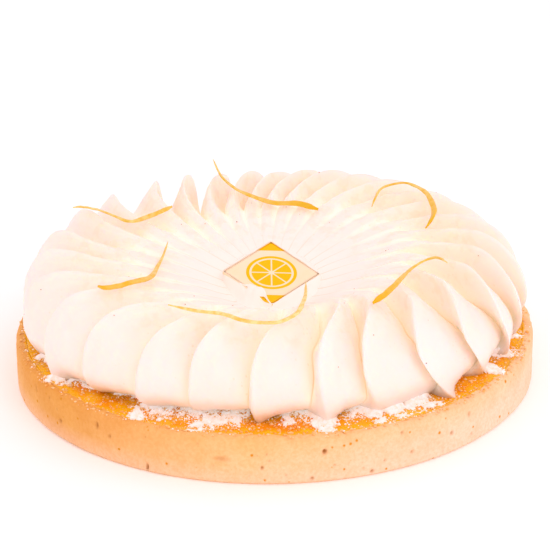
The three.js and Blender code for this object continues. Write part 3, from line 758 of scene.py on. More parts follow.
def seam_line(i):
    """Past the bulge the groove closes up: it rises to just below the crests beside it."""
    azimuth = seam_azimuth(i)
    reach, inner_z = ring_radius(azimuth) - SEAM_SETBACK, inner_top(azimuth + TURN)
    line = side_line(reach, SEAM_BULB_RADIUS, SEAM_MIDDLE, SEAM_DROP, SEAM_TOP, inner_z, SEAM_SETBACK)
    line[:, 0] += around_ring(GROOVE_SHIFTS, azimuth, FOOT_OUT) * line[:, 3] ** 2
    shoulder = ring_radius(azimuth) - BULB_RADIUS
    on_top = line[BULB_ROWS:]
    share = np.clip((shoulder - on_top[:, 0]) / (shoulder - INNER_RADIUS), 0, 1)
    crest_z = mix(crest_top(azimuth), inner_z, share**CREST_SAG)
    start = reach - SEAM_BULB_RADIUS
    closing = np.clip((start - on_top[:, 0]) / (start - INNER_RADIUS), 0, 1)
    open_depth = float(crest_z[0]) - SEAM_TOP
    depth = mix(open_depth, around_ring(GROOVE_DEPTHS, azimuth), smooth(closing / GROOVE_CLOSES))
    depth = mix(depth, GROOVE_END, closing)
    tucked = np.minimum(0, on_top[:, 1] - inner_z) * (on_top[:, 0] < INNER_RADIUS)
    on_top[:, 1] = crest_z - depth + tucked
    return line


fifth_crest = crest_line(4)
print("crest of petal 5 starts at", fifth_crest[0].round(1), "and rises to", fifth_crest[:, 1].max().round(1))

# %% One petal's surface
STEEP_COLUMNS, BROAD_COLUMNS = 14, 30
OVERLAP = 0.15                      # petals press into each other by this much, mm
EDGE_PASSES = 3                     # how often the crest's sharp edge is softened
PETAL_SHARP = 55                    # degrees of fold where a petal's top meets its hidden side wall
DEEP_GROOVE, SHALLOW_DARK = 7, 0.12   # from this depth in mm a groove looks its darkest


def petal_columns(i):
    """For each column across: its groove, its share of the way to the crest, and its three lifts."""
    for s in np.linspace(0, 1, STEEP_COLUMNS):
        yield i, s, [s**power for power in STEEP_POWERS]
    slack = around_ring(SLACKS, crest_azimuth(i))
    for s in np.linspace(1, 0, BROAD_COLUMNS + 1)[1:]:
        lift = mix((1 - (1 - s) ** BROAD_POWERS[0]) ** BROAD_POWERS[1], s, slack)
        yield i + 1, s, [lift, (lift + s) / 2, float(smooth((s - FOOT_LOBE) / (1 - FOOT_LOBE)))]


def petal_grid(i):
    """The top of a petal in rows from foot to inner end, its share of the way down into a groove,
    and how dark that groove is."""
    crest = crest_line(i)
    grooves = {i: seam_line(i), i + 1: seam_line(i + 1)}
    at_top, at_foot = smooth(crest[:, 2] / BULB_RADIUS), crest[:, 3] ** FOOT_BLEND
    grid, depth, hollow = [], [], []
    for groove, share, (lift, top_lift, foot_lift) in petal_columns(i):
        side = grooves[groove]
        rise = mix(mix(lift, top_lift, at_top), foot_lift, at_foot)[:, None]
        r, z, inward, _ = mix(side, crest, rise).T
        azimuth = mix(seam_azimuth(groove, side[:, 2], side[:, 3]), crest_azimuth(i), share) + turned(inward)
        lean = np.clip((SLANT_FROM - z) / (SLANT_FROM - CURD_TOP), 0, 1) ** SLANT_POWER
        at_groove = around_ring(GROOVE_SHIFTS, seam_azimuth(groove), FOOT_TURN)
        azimuth += mix(at_groove, around_ring(TIP_SHIFTS, crest_azimuth(i), FOOT_TURN), share) * lean
        grid.append(polar(r, azimuth, z))
        open_by = np.hypot(crest[:, 0] - side[:, 0], crest[:, 1] - side[:, 1])
        depth.append(1 - rise[:, 0])
        hollow.append(depth[-1] * mix(SHALLOW_DARK, 1, np.clip(open_by / DEEP_GROOVE, 0, 1)))
    grid, depth, hollow = (np.stack(columns, 1) for columns in (grid, depth, hollow))
    around = np.stack([-grid[:, 0, 1], grid[:, 0, 0], np.zeros(len(grid))], -1)
    around /= np.linalg.norm(around, axis=1, keepdims=True)
    grid[:, 0] -= around * OVERLAP
    grid[:, -1] += around * OVERLAP
    near_crest = slice(STEEP_COLUMNS - 4, STEEP_COLUMNS + 4)
    for _ in range(EDGE_PASSES):
        soft = (np.roll(grid, 1, axis=1) + 2 * grid + np.roll(grid, -1, axis=1)) / 4
        grid[:, near_crest] = soft[:, near_crest]
    return grid, depth, hollow


print("points on a petal:", petal_grid(0)[0].shape[:2])

# %% [markdown]
# A stroke of meringue carries marks of its own: slow swellings where the hand hesitated, fine lines
# along its length from the rim of the nozzle, and on top, where it dried in the oven, a rough
# pitted skin. The blob at the front stays the smoothest. The three are added as relief along the
# surface's normals, each faded in where it belongs.

# %% The marks on a petal
SWELL, SECOND_SWELL = (15, 0.55), (6.5, 0.28)
NOZZLE_LINES = ((2.2, 0.16), (5.1, 0.10))        # lines per petal width, height in mm
TOP_ROUGH, FOOT_ROUGH = ((3.1, 0.20), (1.5, 0.13)), (1.6, 0.3)


def rough_petal(i, grid, depth):
    columns = depth.shape[1]
    flat = grid.reshape(-1, 3)
    radius = np.linalg.norm(flat[:, :2], axis=1)
    push = SWELL[1] * lumps(flat, SWELL[0], 70) + SECOND_SWELL[1] * lumps(flat, SECOND_SWELL[0], 71)
    across = np.broadcast_to(np.linspace(0, 1, columns), depth.shape).ravel()
    lined = smooth((radius - 35) / 45) * (1 - depth.ravel() ** 3)
    for k, (lines, high) in enumerate(NOZZLE_LINES):
        push += high * lined * np.sin(2 * math.pi * (lines * across + 0.37 * i * (k + 1)))
    dried = smooth((flat[:, 2] - 44) / 6) * smooth((94 - radius) / 14)
    for k, (size, high) in enumerate(TOP_ROUGH):
        push += high * dried * lumps(flat, size, 75 + k)
    push += FOOT_ROUGH[1] * lumps(flat, FOOT_ROUGH[0], 78) * smooth((25 - flat[:, 2]) / 4)
    on_top = smooth((84 - radius) / 20)
    fade = smooth((flat[:, 2] - CURD_TOP) / 3) * (1 - 0.75 * (1 - on_top) * depth.ravel() ** 3)
    normals = mix(grid_normals(grid).reshape(-1, 3), np.array([0, 0, 1]), on_top[:, None])
    flat = flat + normals * (push * fade)[:, None]
    return flat.reshape(grid.shape), dried


def petal_mesh(i):
    """All of a petal: its surface, the two hidden side walls and its underside."""
    grid, depth, hollow = petal_grid(i)
    grid, dried = rough_petal(i, grid, depth)
    rows, columns = depth.shape
    top_faces = grid_faces(rows, columns)[:, ::-1]
    sunk = grid[:, [0, -1]].copy()
    overhang = np.linalg.norm(sunk[..., :2], axis=-1) > np.linalg.norm(sunk[0, :, :2], axis=-1)
    sunk = np.where(overhang[..., None], sunk[:1], sunk)
    sunk[..., 2] = CURD_TOP - BURIED
    grid_foot = grid[0].copy()
    grid_foot[:, 2] = CURD_TOP - BURIED
    points = np.vstack([grid.reshape(-1, 3), sunk.reshape(-1, 3), grid_foot])
    near = rows * columns + 2 * np.arange(rows)
    far = near + 1
    foot = rows * columns + 2 * rows + np.arange(columns)
    first, last = np.arange(rows) * columns, np.arange(rows) * columns + columns - 1
    faces = top_faces.tolist()
    for k in range(rows - 1):
        faces.append([first[k], first[k + 1], near[k + 1], near[k]])
        faces.append([last[k + 1], last[k], far[k], far[k + 1]])
        faces.append([near[k], near[k + 1], far[k + 1], far[k]])
    for c in range(columns - 1):
        faces.append([c + 1, c, foot[c], foot[c + 1]])
    faces.append([*foot.tolist(), far[0], near[0]])
    end = (rows - 1) * columns
    faces.append([*range(end, end + columns), far[-1], near[-1]])
    hidden = np.ones(2 * rows + columns)
    hollow, edge = np.concatenate([hollow.ravel(), hidden]), np.concatenate([depth.ravel(), hidden])
    dried = np.concatenate([dried, 0 * hidden])
    return points, [[int(v) for v in face] for face in faces], hollow, edge, dried


# %% [markdown]
# Whipped egg white is nearly white, and light wanders in it before it comes out, warmer. So grooves
# glow peach and never go grey. The shader does a little of that with subsurface scattering, only
# away from a petal's edges, as there light would leak out through the side walls that are hidden.
# The rest is painted into the base colour: a warm painted shade that deepens with the depth in the
# groove that each petal has stored, painted shade at the groove bottoms and just above the feet, a
# faint painted glow in the grooves, and painted light round the middle.
# On top a faint tan shows where the oven caught it, and pores gather along the grooves.

# %% The meringue's finish
MERINGUE_WHITE, MERINGUE_CREAM = colour(0.985, 0.92, 0.85), colour(0.985, 0.905, 0.815)
MERINGUE_GROOVE_SHADE, MERINGUE_TOP = colour(0.985, 0.905, 0.77), colour(0.985, 0.92, 0.795)
# MERINGUE_MIDDLE_LIGHT is painted light for the hollow round the plaque.
MERINGUE_MIDDLE_LIGHT = colour(0.985, 0.955, 0.88)
# SEEPING_GLOW is a painted glow that the grooves emit faintly.
SEEPING_GLOW = colour(1.0, 0.70, 0.46)   # light that comes through a thin wall of meringue
# MERINGUE_UNDER_SHADE is painted shade for the petals' undersides just above their feet.
MERINGUE_TAN, MERINGUE_UNDER_SHADE = colour(0.93, 0.70, 0.48), colour(0.62, 0.50, 0.34)
# MERINGUE_SEAM_SHADE is painted shade for the bottoms of the grooves.
MERINGUE_SEAM_SHADE = colour(0.78, 0.56, 0.34)
MERINGUE_LOW = colour(0.80, 0.83, 0.82)     # cool, so that the curd's orange light leaves it white


def meringue_material():
    material, tree, shader = new_material("meringue", Roughness=0.55, Subsurface_Scale=0.005,
                                          Specular_IOR_Level=0.15)
    shader.inputs["Subsurface Radius"].default_value = (1.0, 0.62, 0.40)
    base = use(tree, PATCHES, Patches=45.0, Low=MERINGUE_WHITE, High=MERINGUE_CREAM)["Color"]
    hollow = stored(tree, "hollow")
    # Painted shade: the base colour turns warmer and darker deeper in a groove.
    base = mix_colour(tree, ranged(tree, hollow, 0.45, 1.0, 0.0, 0.7), base, MERINGUE_GROOVE_SHADE)
    dried = stored(tree, "dried")
    base = mix_colour(tree, calculate(tree, "MULTIPLY", dried, 0.8), base, MERINGUE_TOP)
    from_middle = add(tree, "VectorMath", {0: object_place(tree)}, operation="LENGTH").outputs["Value"]
    # Painted light: whiter near the middle, lifting the shade in the hollow round the plaque.
    base = mix_colour(tree, ranged(tree, from_middle, 0.085, 0.050), base, MERINGUE_MIDDLE_LIGHT)
    caught = use(tree, PATCHES, Patches=190.0)["Mask"]
    caught = calculate(tree, "MULTIPLY", ranged(tree, caught, 0.55, 1.0, 0.0, 0.20), dried)
    base = mix_colour(tree, caught, base, MERINGUE_TAN)
    pores = use(tree, FLECKS, Spots=620.0, Share=0.10)["Mask"]
    pores = calculate(tree, "MULTIPLY", pores, ranged(tree, hollow, 0.2, 0.6, 0.0, 0.35))
    base = mix_colour(tree, pores, base, MERINGUE_TAN)
    height = add(tree, "SeparateXYZ", {0: object_place(tree)}).outputs[2]
    edge = stored(tree, "edge")
    # Painted shade: the bottoms of the grooves are painted tan, fading out high on the petals.
    seam = calculate(tree, "MULTIPLY", ranged(tree, edge, 0.91, 0.99, 0.0, 0.6),
                     ranged(tree, height, 0.052, 0.036))
    base = mix_colour(tree, seam, base, MERINGUE_SEAM_SHADE)
    low = calculate(tree, "MULTIPLY", ranged(tree, height, 0.0275, 0.0210),
                    ranged(tree, edge, 0.0, 0.4, 0.4, 0.9))
    base = mix_colour(tree, low, base, MERINGUE_LOW)
    # Painted shade: the petals are painted darker just above their feet, most on the sides towards a groove.
    under = ranged(tree, height, 0.0218, 0.0192)
    shaded = calculate(tree, "MULTIPLY", under, ranged(tree, edge, 0.1, 0.6, 0.15, 0.9))
    base = mix_colour(tree, shaded, base, MERINGUE_UNDER_SHADE)
    tree.links.new(base, shader.inputs["Base Color"])
    inner = calculate(tree, "MULTIPLY", ranged(tree, from_middle, 0.052, 0.080, 0.0, 0.6),
                      ranged(tree, height, 0.021, 0.030))
    soft = calculate(tree, "MULTIPLY", inner, ranged(tree, edge, 0.97, 0.70))
    tree.links.new(soft, shader.inputs["Subsurface Weight"])
    # Painted glow: the grooves give off a faint warm light of their own, fading out just above the feet.
    shader.inputs["Emission Color"].default_value = SEEPING_GLOW
    painted_glow = calculate(tree, "MULTIPLY", ranged(tree, hollow, 0.45, 1.0, 0.0, 0.18),
                        ranged(tree, under, 0, 1, 1, 0))
    tree.links.new(painted_glow, shader.inputs["Emission Strength"])
    tree.links.new(ranged(tree, dried, 0, 1, 0.48, 0.78), shader.inputs["Roughness"])
    bump(tree, shader, use(tree, CRUMB, Grain=700.0)["Height"], 0.30, 0.28)
    return material


MERINGUE = meringue_material()


def build_petals():
    made = []
    for i in range(PETALS):
        points, faces, hollow, edge, dried = petal_mesh(i)
        node = f"meringue_petal_{i + 1:02d}"
        made.append(make_piece(f"piped_petal_{i + 1:02d}", points, faces, MERINGUE, [node], "meringue",
                               sharp_from=PETAL_SHARP,
                               hollow=hollow, edge=edge, dried=dried))
    return made


petals = build_petals()
print("petals:", len(petals), "with", sum(triangles(p) for p in petals), "triangles")

# %% [markdown]
# ## The hollow in the middle
#
# A last dollop closes the hollow that the strokes leave. The plaque was pressed into it, so a soft
# collar stands round the plaque, and at the front left it laps over the plaque's edge.

# %% The dollop
PLAQUE_SIDE, PLAQUE_THICK = 29.3, 1.6
PLAQUE_TILT, PLAQUE_ROLL = 17.5, 3
PLAQUE_MIDDLE = Vector((-0.8, -0.75, 43.0))
SEAT_PLAY = 0.05                    # between the plaque and the meringue round it
PLAQUE_PLACE = (Matrix.Translation(PLAQUE_MIDDLE) @ turn(PLAQUE_TILT, "X") @ turn(PLAQUE_ROLL, "Y")
                @ turn(45, "Z"))
DOLLOP_COLUMNS, SEAT_ROWS, COLLAR_ROWS = 144, 8, 12
COLLAR_RIDGE = 1.9                  # the collar laps over the plaque's edge at the front left
RIDGE_AZIMUTH, RIDGE_WIDTH, RIDGE_LAP = 243, 21, 2.6
DIP_AZIMUTH, DIP_WIDTH, DIP_DEPTH = 196, 26, 2.2     # left of the plaque the dollop sags


def plaque_level(points, offset):
    """Height of a plane that lies along the plaque, an offset above its middle."""
    across = PLAQUE_PLACE.to_3x3() @ Vector((0, 0, 1))
    start = PLAQUE_MIDDLE + across * offset
    from_start = across.x * (points[..., 0] - start.x) + across.y * (points[..., 1] - start.y)
    return start.z - from_start / across.z


def plaque_edge(azimuth):
    """Distance from the plaque's middle to its edge, seen from above."""
    across = np.abs(np.cos(np.radians(azimuth))) / math.cos(math.radians(PLAQUE_ROLL))
    along = np.abs(np.sin(np.radians(azimuth))) / math.cos(math.radians(PLAQUE_TILT))
    return PLAQUE_SIDE / math.sqrt(2) / (across + along)


def swelling(azimuth, middle, width):
    """1 at the azimuth of its middle, 0 away from it."""
    around = (azimuth - middle + 180) % 360 - 180
    return np.exp(-((around / width) ** 4))


def ridge(azimuth):
    return swelling(azimuth, RIDGE_AZIMUTH, RIDGE_WIDTH)


def build_dollop():
    azimuth = np.arange(DOLLOP_COLUMNS) * 360 / DOLLOP_COLUMNS
    middle = np.array([PLAQUE_MIDDLE.x, PLAQUE_MIDDLE.y, 0])
    rim = polar(INNER_RADIUS - 2 * GAP, azimuth, 0.0) - middle
    rim_r = np.linalg.norm(rim[:, :2], axis=1)
    rim_azimuth = np.degrees(np.arctan2(rim[:, 1], rim[:, 0]))
    ragged = 1 + 0.6 * lumps(rim, 2.6, 83) + 0.5 * lumps(rim, 1.1, 84)
    edge = np.minimum(plaque_edge(rim_azimuth) + SEAT_PLAY, rim_r - 0.1) - RIDGE_LAP * ragged * ridge(rim_azimuth)
    rows = [polar(6.0, azimuth, CURD_TOP - BURIED), polar(INNER_RADIUS - 2 * GAP, azimuth, CURD_TOP - BURIED)]
    for share in np.linspace(1, 0, COLLAR_ROWS):
        ring = polar(mix(edge, rim_r, share), rim_azimuth, 0.0) + middle
        inner_level = plaque_level(ring, PLAQUE_THICK / 2 - SEAT_PLAY) + COLLAR_RIDGE * ridge(rim_azimuth)
        ring[:, 2] = mix(inner_level, inner_top(azimuth) - 0.8, smooth(share))
        ring[:, 2] -= DIP_DEPTH * swelling(rim_azimuth, DIP_AZIMUTH, DIP_WIDTH) * (1 - (1 - 2 * share) ** 2)
        lumpy = 0.7 * lumps(ring, 4.5, 81) + 0.5 * lumps(ring, 1.8, 82)
        ring[:, 2] += lumpy * (1 - share) * (0.3 + ridge(rim_azimuth))
        rows.append(ring)
    for share in np.linspace(1, 0.06, SEAT_ROWS):
        ring = polar(edge * share, rim_azimuth, 0.0) + middle
        ring[:, 2] = plaque_level(ring, -PLAQUE_THICK / 2 - GAP)
        rows.append(ring)
    grid = np.array(rows)
    points, faces = close_ends(grid, grid_faces(*grid.shape[:2], around=True))
    radius = np.linalg.norm(points[:, :2], axis=1)
    return make_piece("centre_dollop", points, faces, MERINGUE, ["meringue_centre"], "meringue",
                      sharp_from=PETAL_SHARP,
                      hollow=np.zeros(len(points)), edge=np.zeros(len(points)), dried=0.2 * (radius > 8))


dollop = build_dollop()
print("dollop:", triangles(dollop), "triangles")

# %% [markdown]
# ## The chocolate plaque
#
# Bakers set a small printed plaque of white chocolate on a pie. This one carries a plain lemon
# wheel, made by arithmetic in the material: a ring, eight segments and two clipped corners in
# golden yellow on cream. The plate itself is a thin square with softened edges, a hair warped.

# %% The plate
PLAQUE_STEPS, PLAQUE_EDGE = 26, 0.35


def build_plaque(material):
    """Two square grids, joined round the edge by a rounded rim."""
    half = PLAQUE_SIDE / 2
    ticks = np.linspace(-1, 1, PLAQUE_STEPS)
    u, v = np.meshgrid(ticks, ticks, indexing="ij")
    inside = half - PLAQUE_EDGE
    top = np.stack([u * inside, v * inside, np.full(u.shape, PLAQUE_THICK / 2)], -1)
    warp = 0.10 * lumps(top.reshape(-1, 3), 9, 90).reshape(u.shape)
    top[..., 2] += warp - 0.1
    bottom = top.copy()
    bottom[..., 2] = -PLAQUE_THICK / 2
    n = PLAQUE_STEPS
    border = [(k, 0) for k in range(n - 1)] + [(n - 1, k) for k in range(n - 1)]
    border += [(k, n - 1) for k in range(n - 1, 0, -1)] + [(0, k) for k in range(n - 1, 0, -1)]
    rings = [top[tuple(zip(*border))]]
    for angle in np.radians([35, 65, 90, 115, 145]):
        rim = rings[0].copy()
        outline = rim[:, :2] / np.abs(rim[:, :2]).max(axis=1, keepdims=True)
        rim[:, :2] += outline * PLAQUE_EDGE * math.sin(angle)
        dropped = PLAQUE_EDGE * (1 - abs(math.cos(angle)))
        rim[:, 2] = rim[:, 2] - dropped if math.cos(angle) > 0 else dropped - PLAQUE_THICK / 2
        rings.append(rim)
    sides = np.array(rings[1:]).reshape(-1, 3)
    points = np.vstack([top.reshape(-1, 3), bottom.reshape(-1, 3), sides])
    faces = grid_faces(n, n).tolist() + (grid_faces(n, n)[:, ::-1] + n * n).tolist()
    count = len(border)
    loops = [np.array([a * n + b for a, b in border])]
    loops += [2 * n * n + k * count + np.arange(count) for k in range(len(rings) - 1)]
    loops.append(loops[0] + n * n)
    for upper, lower in zip(loops, loops[1:]):
        for k in range(count):
            nxt = (k + 1) % count
            faces.append([int(v) for v in (upper[nxt], upper[k], lower[k], lower[nxt])])
    placed = np.array([PLAQUE_PLACE @ Vector(p) for p in points])
    return make_piece("chocolate_plaque", placed, faces, material, ["plaque"], "chocolate",
                      plate_u=points[:, 0], plate_v=points[:, 1])


# %% The lemon wheel on it
PRINT_CREAM, PRINT_BUFF = colour(0.97, 0.84, 0.60), colour(0.97, 0.80, 0.50)
PRINT_YELLOW = colour(0.95, 0.56, 0.002)
WHEEL_RING, WHEEL_FLESH, WHEEL_PIP = (9.4, 10.8), 8.5, 1.1
SEGMENT_GAP = 0.6
CORNER_FROM = 20.5


def plaque_material():
    material, tree, shader = new_material("printed_chocolate", Roughness=0.45, Specular_IOR_Level=0.06)
    u, v = stored(tree, "plate_u"), stored(tree, "plate_v")

    def calc(operation, a, b=0.0):
        return calculate(tree, operation, a, b)

    radius = calc("SQRT", calc("ADD", calc("MULTIPLY", u, u), calc("MULTIPLY", v, v)))
    spoke = calc("ABSOLUTE", calc("SINE", calc("MULTIPLY", calc("ARCTAN2", v, u), 4.0)))
    from_spoke = calc("MULTIPLY", calc("MULTIPLY", spoke, radius), 0.25)
    in_segment = calc("GREATER_THAN", from_spoke, SEGMENT_GAP * 0.5)
    flesh = calc("MULTIPLY", in_segment, calc("LESS_THAN", radius, WHEEL_FLESH))
    flesh = calc("MULTIPLY", flesh, calc("GREATER_THAN", radius, WHEEL_PIP))
    peel_inner, peel_outer = WHEEL_RING
    peel = calc("MULTIPLY", calc("GREATER_THAN", radius, peel_inner), calc("LESS_THAN", radius, peel_outer))
    slant = calc("ABSOLUTE", calc("ADD", u, v))
    corner = calc("GREATER_THAN", slant, CORNER_FROM)
    yellow = calc("MAXIMUM", calc("MAXIMUM", flesh, peel), corner)
    cream = use(tree, PATCHES, Patches=160.0, Low=PRINT_CREAM, High=PRINT_BUFF)["Color"]
    cream = mix_colour(tree, 0.55, cream, PRINT_CREAM)
    ink = use(tree, CRUMB, Grain=2200.0)
    yellow = calc("MULTIPLY", yellow, ranged(tree, ink["Tone"], 0.0, 0.5, 0.97, 1.0))
    tree.links.new(mix_colour(tree, yellow, cream, PRINT_YELLOW), shader.inputs["Base Color"])
    tree.links.new(ranged(tree, ink["Tone"], 0, 1, 0.28, 0.42), shader.inputs["Roughness"])
    bump(tree, shader, ink["Height"], 0.08, 0.3)
    return material


plaque = build_plaque(plaque_material())
print("plaque:", triangles(plaque), "triangles")

# %% [markdown]
# ## The lemon zest
#
# The strands are lemon peel cut with a zester and candied: thin, flat-oval, a little twisted, clear
# gold with deeper orange ends. Each follows a few points over the petals, a little above the
# tallest crest that could be near. So it never dips into the meringue, and it stands clear of it.

# %% Where the strands lie
# x, y and, where a strand lifts further, how far
ZEST_PLANS = [
    [(-86.2, 31), (-82.3, 31.5), (-77.3, 29), (-67.6, 23), (-61, 20.6), (-54.1, 26.8), (-43.7, 38.7)],
    [(-70.2, -52.5), (-66.8, -54), (-58.7, -50), (-50.6, -37.2), (-47.9, -14.7), (-44.7, 10.8)],
    [(-26.5, 84, 2.2), (-22.7, 69), (-16.9, 59), (-11.5, 54.4), (0, 48), (11.3, 46.4), (20, 40.8)],
    [(-41.5, -71.5), (-30.8, -77.8), (-20.6, -81), (-12, -86.5), (-3, -88.3), (4, -87), (9.8, -79),
     (12.5, -56), (13.5, -13, 5.2)],
    [(43.4, 36.3), (45.5, 44), (48.9, 50.8), (57.9, 53.5), (62.5, 50), (67.2, 41), (69.1, 30),
     (69.4, 22), (67.6, 14.8), (65.1, 9.1)],
    [(38.9, -72.7), (43.6, -65.3), (48, -56.2), (51.9, -44.4), (56.6, -33.2), (61.5, -27.1),
     (66.1, -25.4), (69.1, -29.2), (70.8, -34.1)],
]
ZEST_THICK, ZEST_CLEAR, ZEST_TIP, ZEST_BRIDGE = 1.7, 0.5, 0.45, 9
# for each strand how wide it is at its start, middle and end, and how deep its colour is there
ZEST_WIDTHS = [
    (0.8, 1.2, 1.2), (1.3, 1.3, 0.7), (0.7, 1.2, 1.6), (0.7, 1.1, 0.7), (1.0, 1.2, 1.7), (1.4, 1.2, 0.8),
]
ZEST_DEPTHS = [
    (0.3, 0.5, 0.7), (0.9, 0.6, 0.5), (0.5, 0.6, 1.0), (0.15, 0.25, 0.6), (0.6, 0.6, 1.0), (1.0, 0.7, 0.4),
]
ZEST_ROWS, ZEST_SIDES = 120, 14


def crest_height(x, y):
    """Height that the tallest crests could reach above a point of the plan."""
    r = math.hypot(x, y)
    azimuth = math.degrees(math.atan2(y, x))
    shoulder = float(ring_radius(azimuth)) - BULB_RADIUS
    top = float(crest_top(azimuth)) + HEIGHT_UNEVEN
    if r > shoulder:
        return mix(BULB_MIDDLE, top, math.sqrt(1 - min((r - shoulder) / BULB_RADIUS, 1) ** 2))
    share = min((shoulder - r) / (shoulder - INNER_RADIUS), 1)
    return mix(top, float(inner_top(azimuth)), share**CREST_SAG)


def through(knots, count):
    """A smooth curve through the knots, sampled at even steps: uniform Catmull-Rom, with a knot mirrored past
    each end.
    """
    knots = np.asarray(knots, float)
    padded = np.vstack([2 * knots[0] - knots[1], knots, 2 * knots[-1] - knots[-2]])
    dense = []
    for a, b, c, d in zip(padded, padded[1:], padded[2:], padded[3:]):
        for t in np.linspace(0, 1, 40, endpoint=False):
            dense.append(0.5 * (2 * b + (c - a) * t + (2 * a - 5 * b + 4 * c - d) * t**2
                                + (3 * b - a - 3 * c + d) * t**3))
    dense = np.array([*dense, knots[-1]])
    along = np.concatenate([[0], np.cumsum(np.linalg.norm(np.diff(dense, axis=0), axis=1))])
    even = np.linspace(0, along[-1], count)
    return np.stack([np.interp(even, along, dense[:, k]) for k in range(dense.shape[1])], -1)


def zest_spine(plan):
    """The middle line of a strand, clear of the tallest crests that could be near."""
    flat = through([(*point, 0)[:3] for point in plan], ZEST_ROWS)
    heights = []
    for x, y, lift in flat:
        reach = ZEST_BRIDGE / 2 / math.hypot(x, y)
        high = max(crest_height(x * (1 + k), y * (1 + k)) for k in (-reach, 0, reach))
        heights.append(high + lift + ZEST_CLEAR + ZEST_THICK / 2)
    flat[:, 2] = heights
    return flat


steps = [np.diff(zest_spine(plan), axis=0) for plan in ZEST_PLANS]
print("longest strand:", round(max(np.linalg.norm(step, axis=1).sum() for step in steps)), "mm")

# %% Cut the strands
ZEST_FLAT = 0.62                    # height of the section as a share of its width
ZEST_TWIST = 130                    # degrees from end to end


def build_strand(i, material):
    spine = zest_spine(ZEST_PLANS[i])
    share = np.linspace(0, 1, ZEST_ROWS)
    tangent = np.gradient(spine, axis=0)
    tangent /= np.linalg.norm(tangent, axis=1, keepdims=True)
    side = np.cross([0, 0, 1], tangent)
    side /= np.linalg.norm(side, axis=1, keepdims=True)
    over = np.cross(tangent, side)
    width = np.interp(share, (0, 0.5, 1), ZEST_WIDTHS[i]) * ZEST_THICK / 2
    width *= mix(ZEST_TIP, 1, smooth(np.minimum(share, 1 - share) * 14))
    width *= 1 + 0.12 * lumps(spine, 4, 100 + i)
    twist = np.radians(ZEST_TWIST) * (share - 0.5) * (-1) ** i
    rings = []
    for angle in np.arange(ZEST_SIDES) * 2 * math.pi / ZEST_SIDES:
        a, b = math.cos(angle), ZEST_FLAT * math.sin(angle) * (1 + 0.25 * math.cos(2 * angle))
        out = width * (a * np.cos(twist) - b * np.sin(twist))
        up = width * (a * np.sin(twist) + b * np.cos(twist))
        rings.append(spine + side * out[:, None] + over * up[:, None])
    grid = np.stack(rings, 1)
    grid += 0.06 * lumps(grid.reshape(-1, 3), 1.3, 110).reshape(grid.shape[:2])[..., None] * over[:, None]
    points = np.vstack([grid.reshape(-1, 3), spine[:1], spine[-1:]])
    faces = grid_faces(ZEST_ROWS, ZEST_SIDES, around=True)[:, ::-1].tolist()
    first, last, end = len(points) - 2, len(points) - 1, (ZEST_ROWS - 1) * ZEST_SIDES
    for k in range(ZEST_SIDES):
        nxt = (k + 1) % ZEST_SIDES
        faces.append([first, k, nxt])
        faces.append([last, end + nxt, end + k])
    deep = np.interp(share, (0, 0.5, 1), ZEST_DEPTHS[i])
    deep = np.append(np.repeat(deep, ZEST_SIDES), [deep[0], deep[-1]])
    name = f"{i + 1:02d}"
    return make_piece(f"candied_zest_{name}", points, faces, material, [f"zest_strand_{name}"], "zest",
                      deep=deep)


ZEST_PALE, ZEST_GOLD = colour(0.90, 0.80, 0.36), colour(0.78, 0.60, 0.12)
ZEST_DEEP = colour(0.74, 0.48, 0.006)


def zest_material():
    material, tree, shader = new_material("candied_zest", Roughness=0.35, Subsurface_Weight=0.2,
                                          Subsurface_Scale=0.0015, Specular_IOR_Level=0.15)
    shader.inputs["Subsurface Radius"].default_value = (1.0, 0.5, 0.08)
    wander = use(tree, PATCHES, Patches=330.0, Low=ZEST_PALE, High=ZEST_GOLD)["Color"]
    base = mix_colour(tree, ranged(tree, stored(tree, "deep"), 0.3, 1.0), wander, ZEST_DEEP)
    tree.links.new(base, shader.inputs["Base Color"])
    bump(tree, shader, use(tree, CRUMB, Grain=1500.0)["Height"], 0.15, 0.4)
    return material


ZEST = zest_material()
strands = [build_strand(i, ZEST) for i in range(len(ZEST_PLANS))]
print("strands:", len(strands))

# %% [markdown]
# ## Sugar and crumbs
#
# Before the meringue is browned, icing sugar is sifted round the edge. It lies in drifts between
# the petals' feet, half melted into lumps, with loose grains round it, and crumbs of pastry cling
# to the rim. The drifts are a thin lumpy skin over the curd and the rim, kept only where they are
# thick enough to show. The grains and crumbs are small many-sided stones, each turned and dented
# its own way, all joined into one mesh for each kind.

# %% Where the sugar lies
# azimuth, half width in degrees, how thickly it lies there and how many mm it reaches out
SUGAR_DRIFTS = [
    (209, 3, 0.8, 11), (216, 4, 0.8, 13), (229, 3.5, 0.9, 10), (240, 6, 1.25, 20), (248, 4, 1.15, 17),
    (256.5, 5.5, 1.4, 27), (276, 5, 1.15, 20), (283, 2, 0.7, 12), (291.5, 4.5, 1.15, 19),
    (299, 3, 1.0, 14), (306.5, 4, 1.0, 15), (331.5, 2.2, 1.25, 14), (341, 4, 1.1, 11), (351, 3, 0.8, 8),
    (11, 4, 0.9, 8), (27, 5, 1.0, 10), (48, 4, 0.8, 8), (66, 5, 1.1, 11), (88, 4, 0.9, 9), (104, 3, 0.7, 8),
    (121, 5, 1.0, 11), (143, 4, 0.8, 8), (160, 5, 0.9, 10), (181, 3, 0.6, 7), (199, 3, 0.7, 7),
]


def drift(azimuth, out):
    """How much sugar is wanted at an azimuth and a distance out from the feet, from 0 to about 1."""
    thick = np.zeros(np.shape(azimuth))
    for centre, half, high, reach in SUGAR_DRIFTS:
        around = (azimuth - centre + 180) % 360 - 180
        here = high * np.exp(-((around / half) ** 4)) * (1 - smooth((out / reach - 0.35) / 0.65))
        thick = np.maximum(thick, here)
    return thick


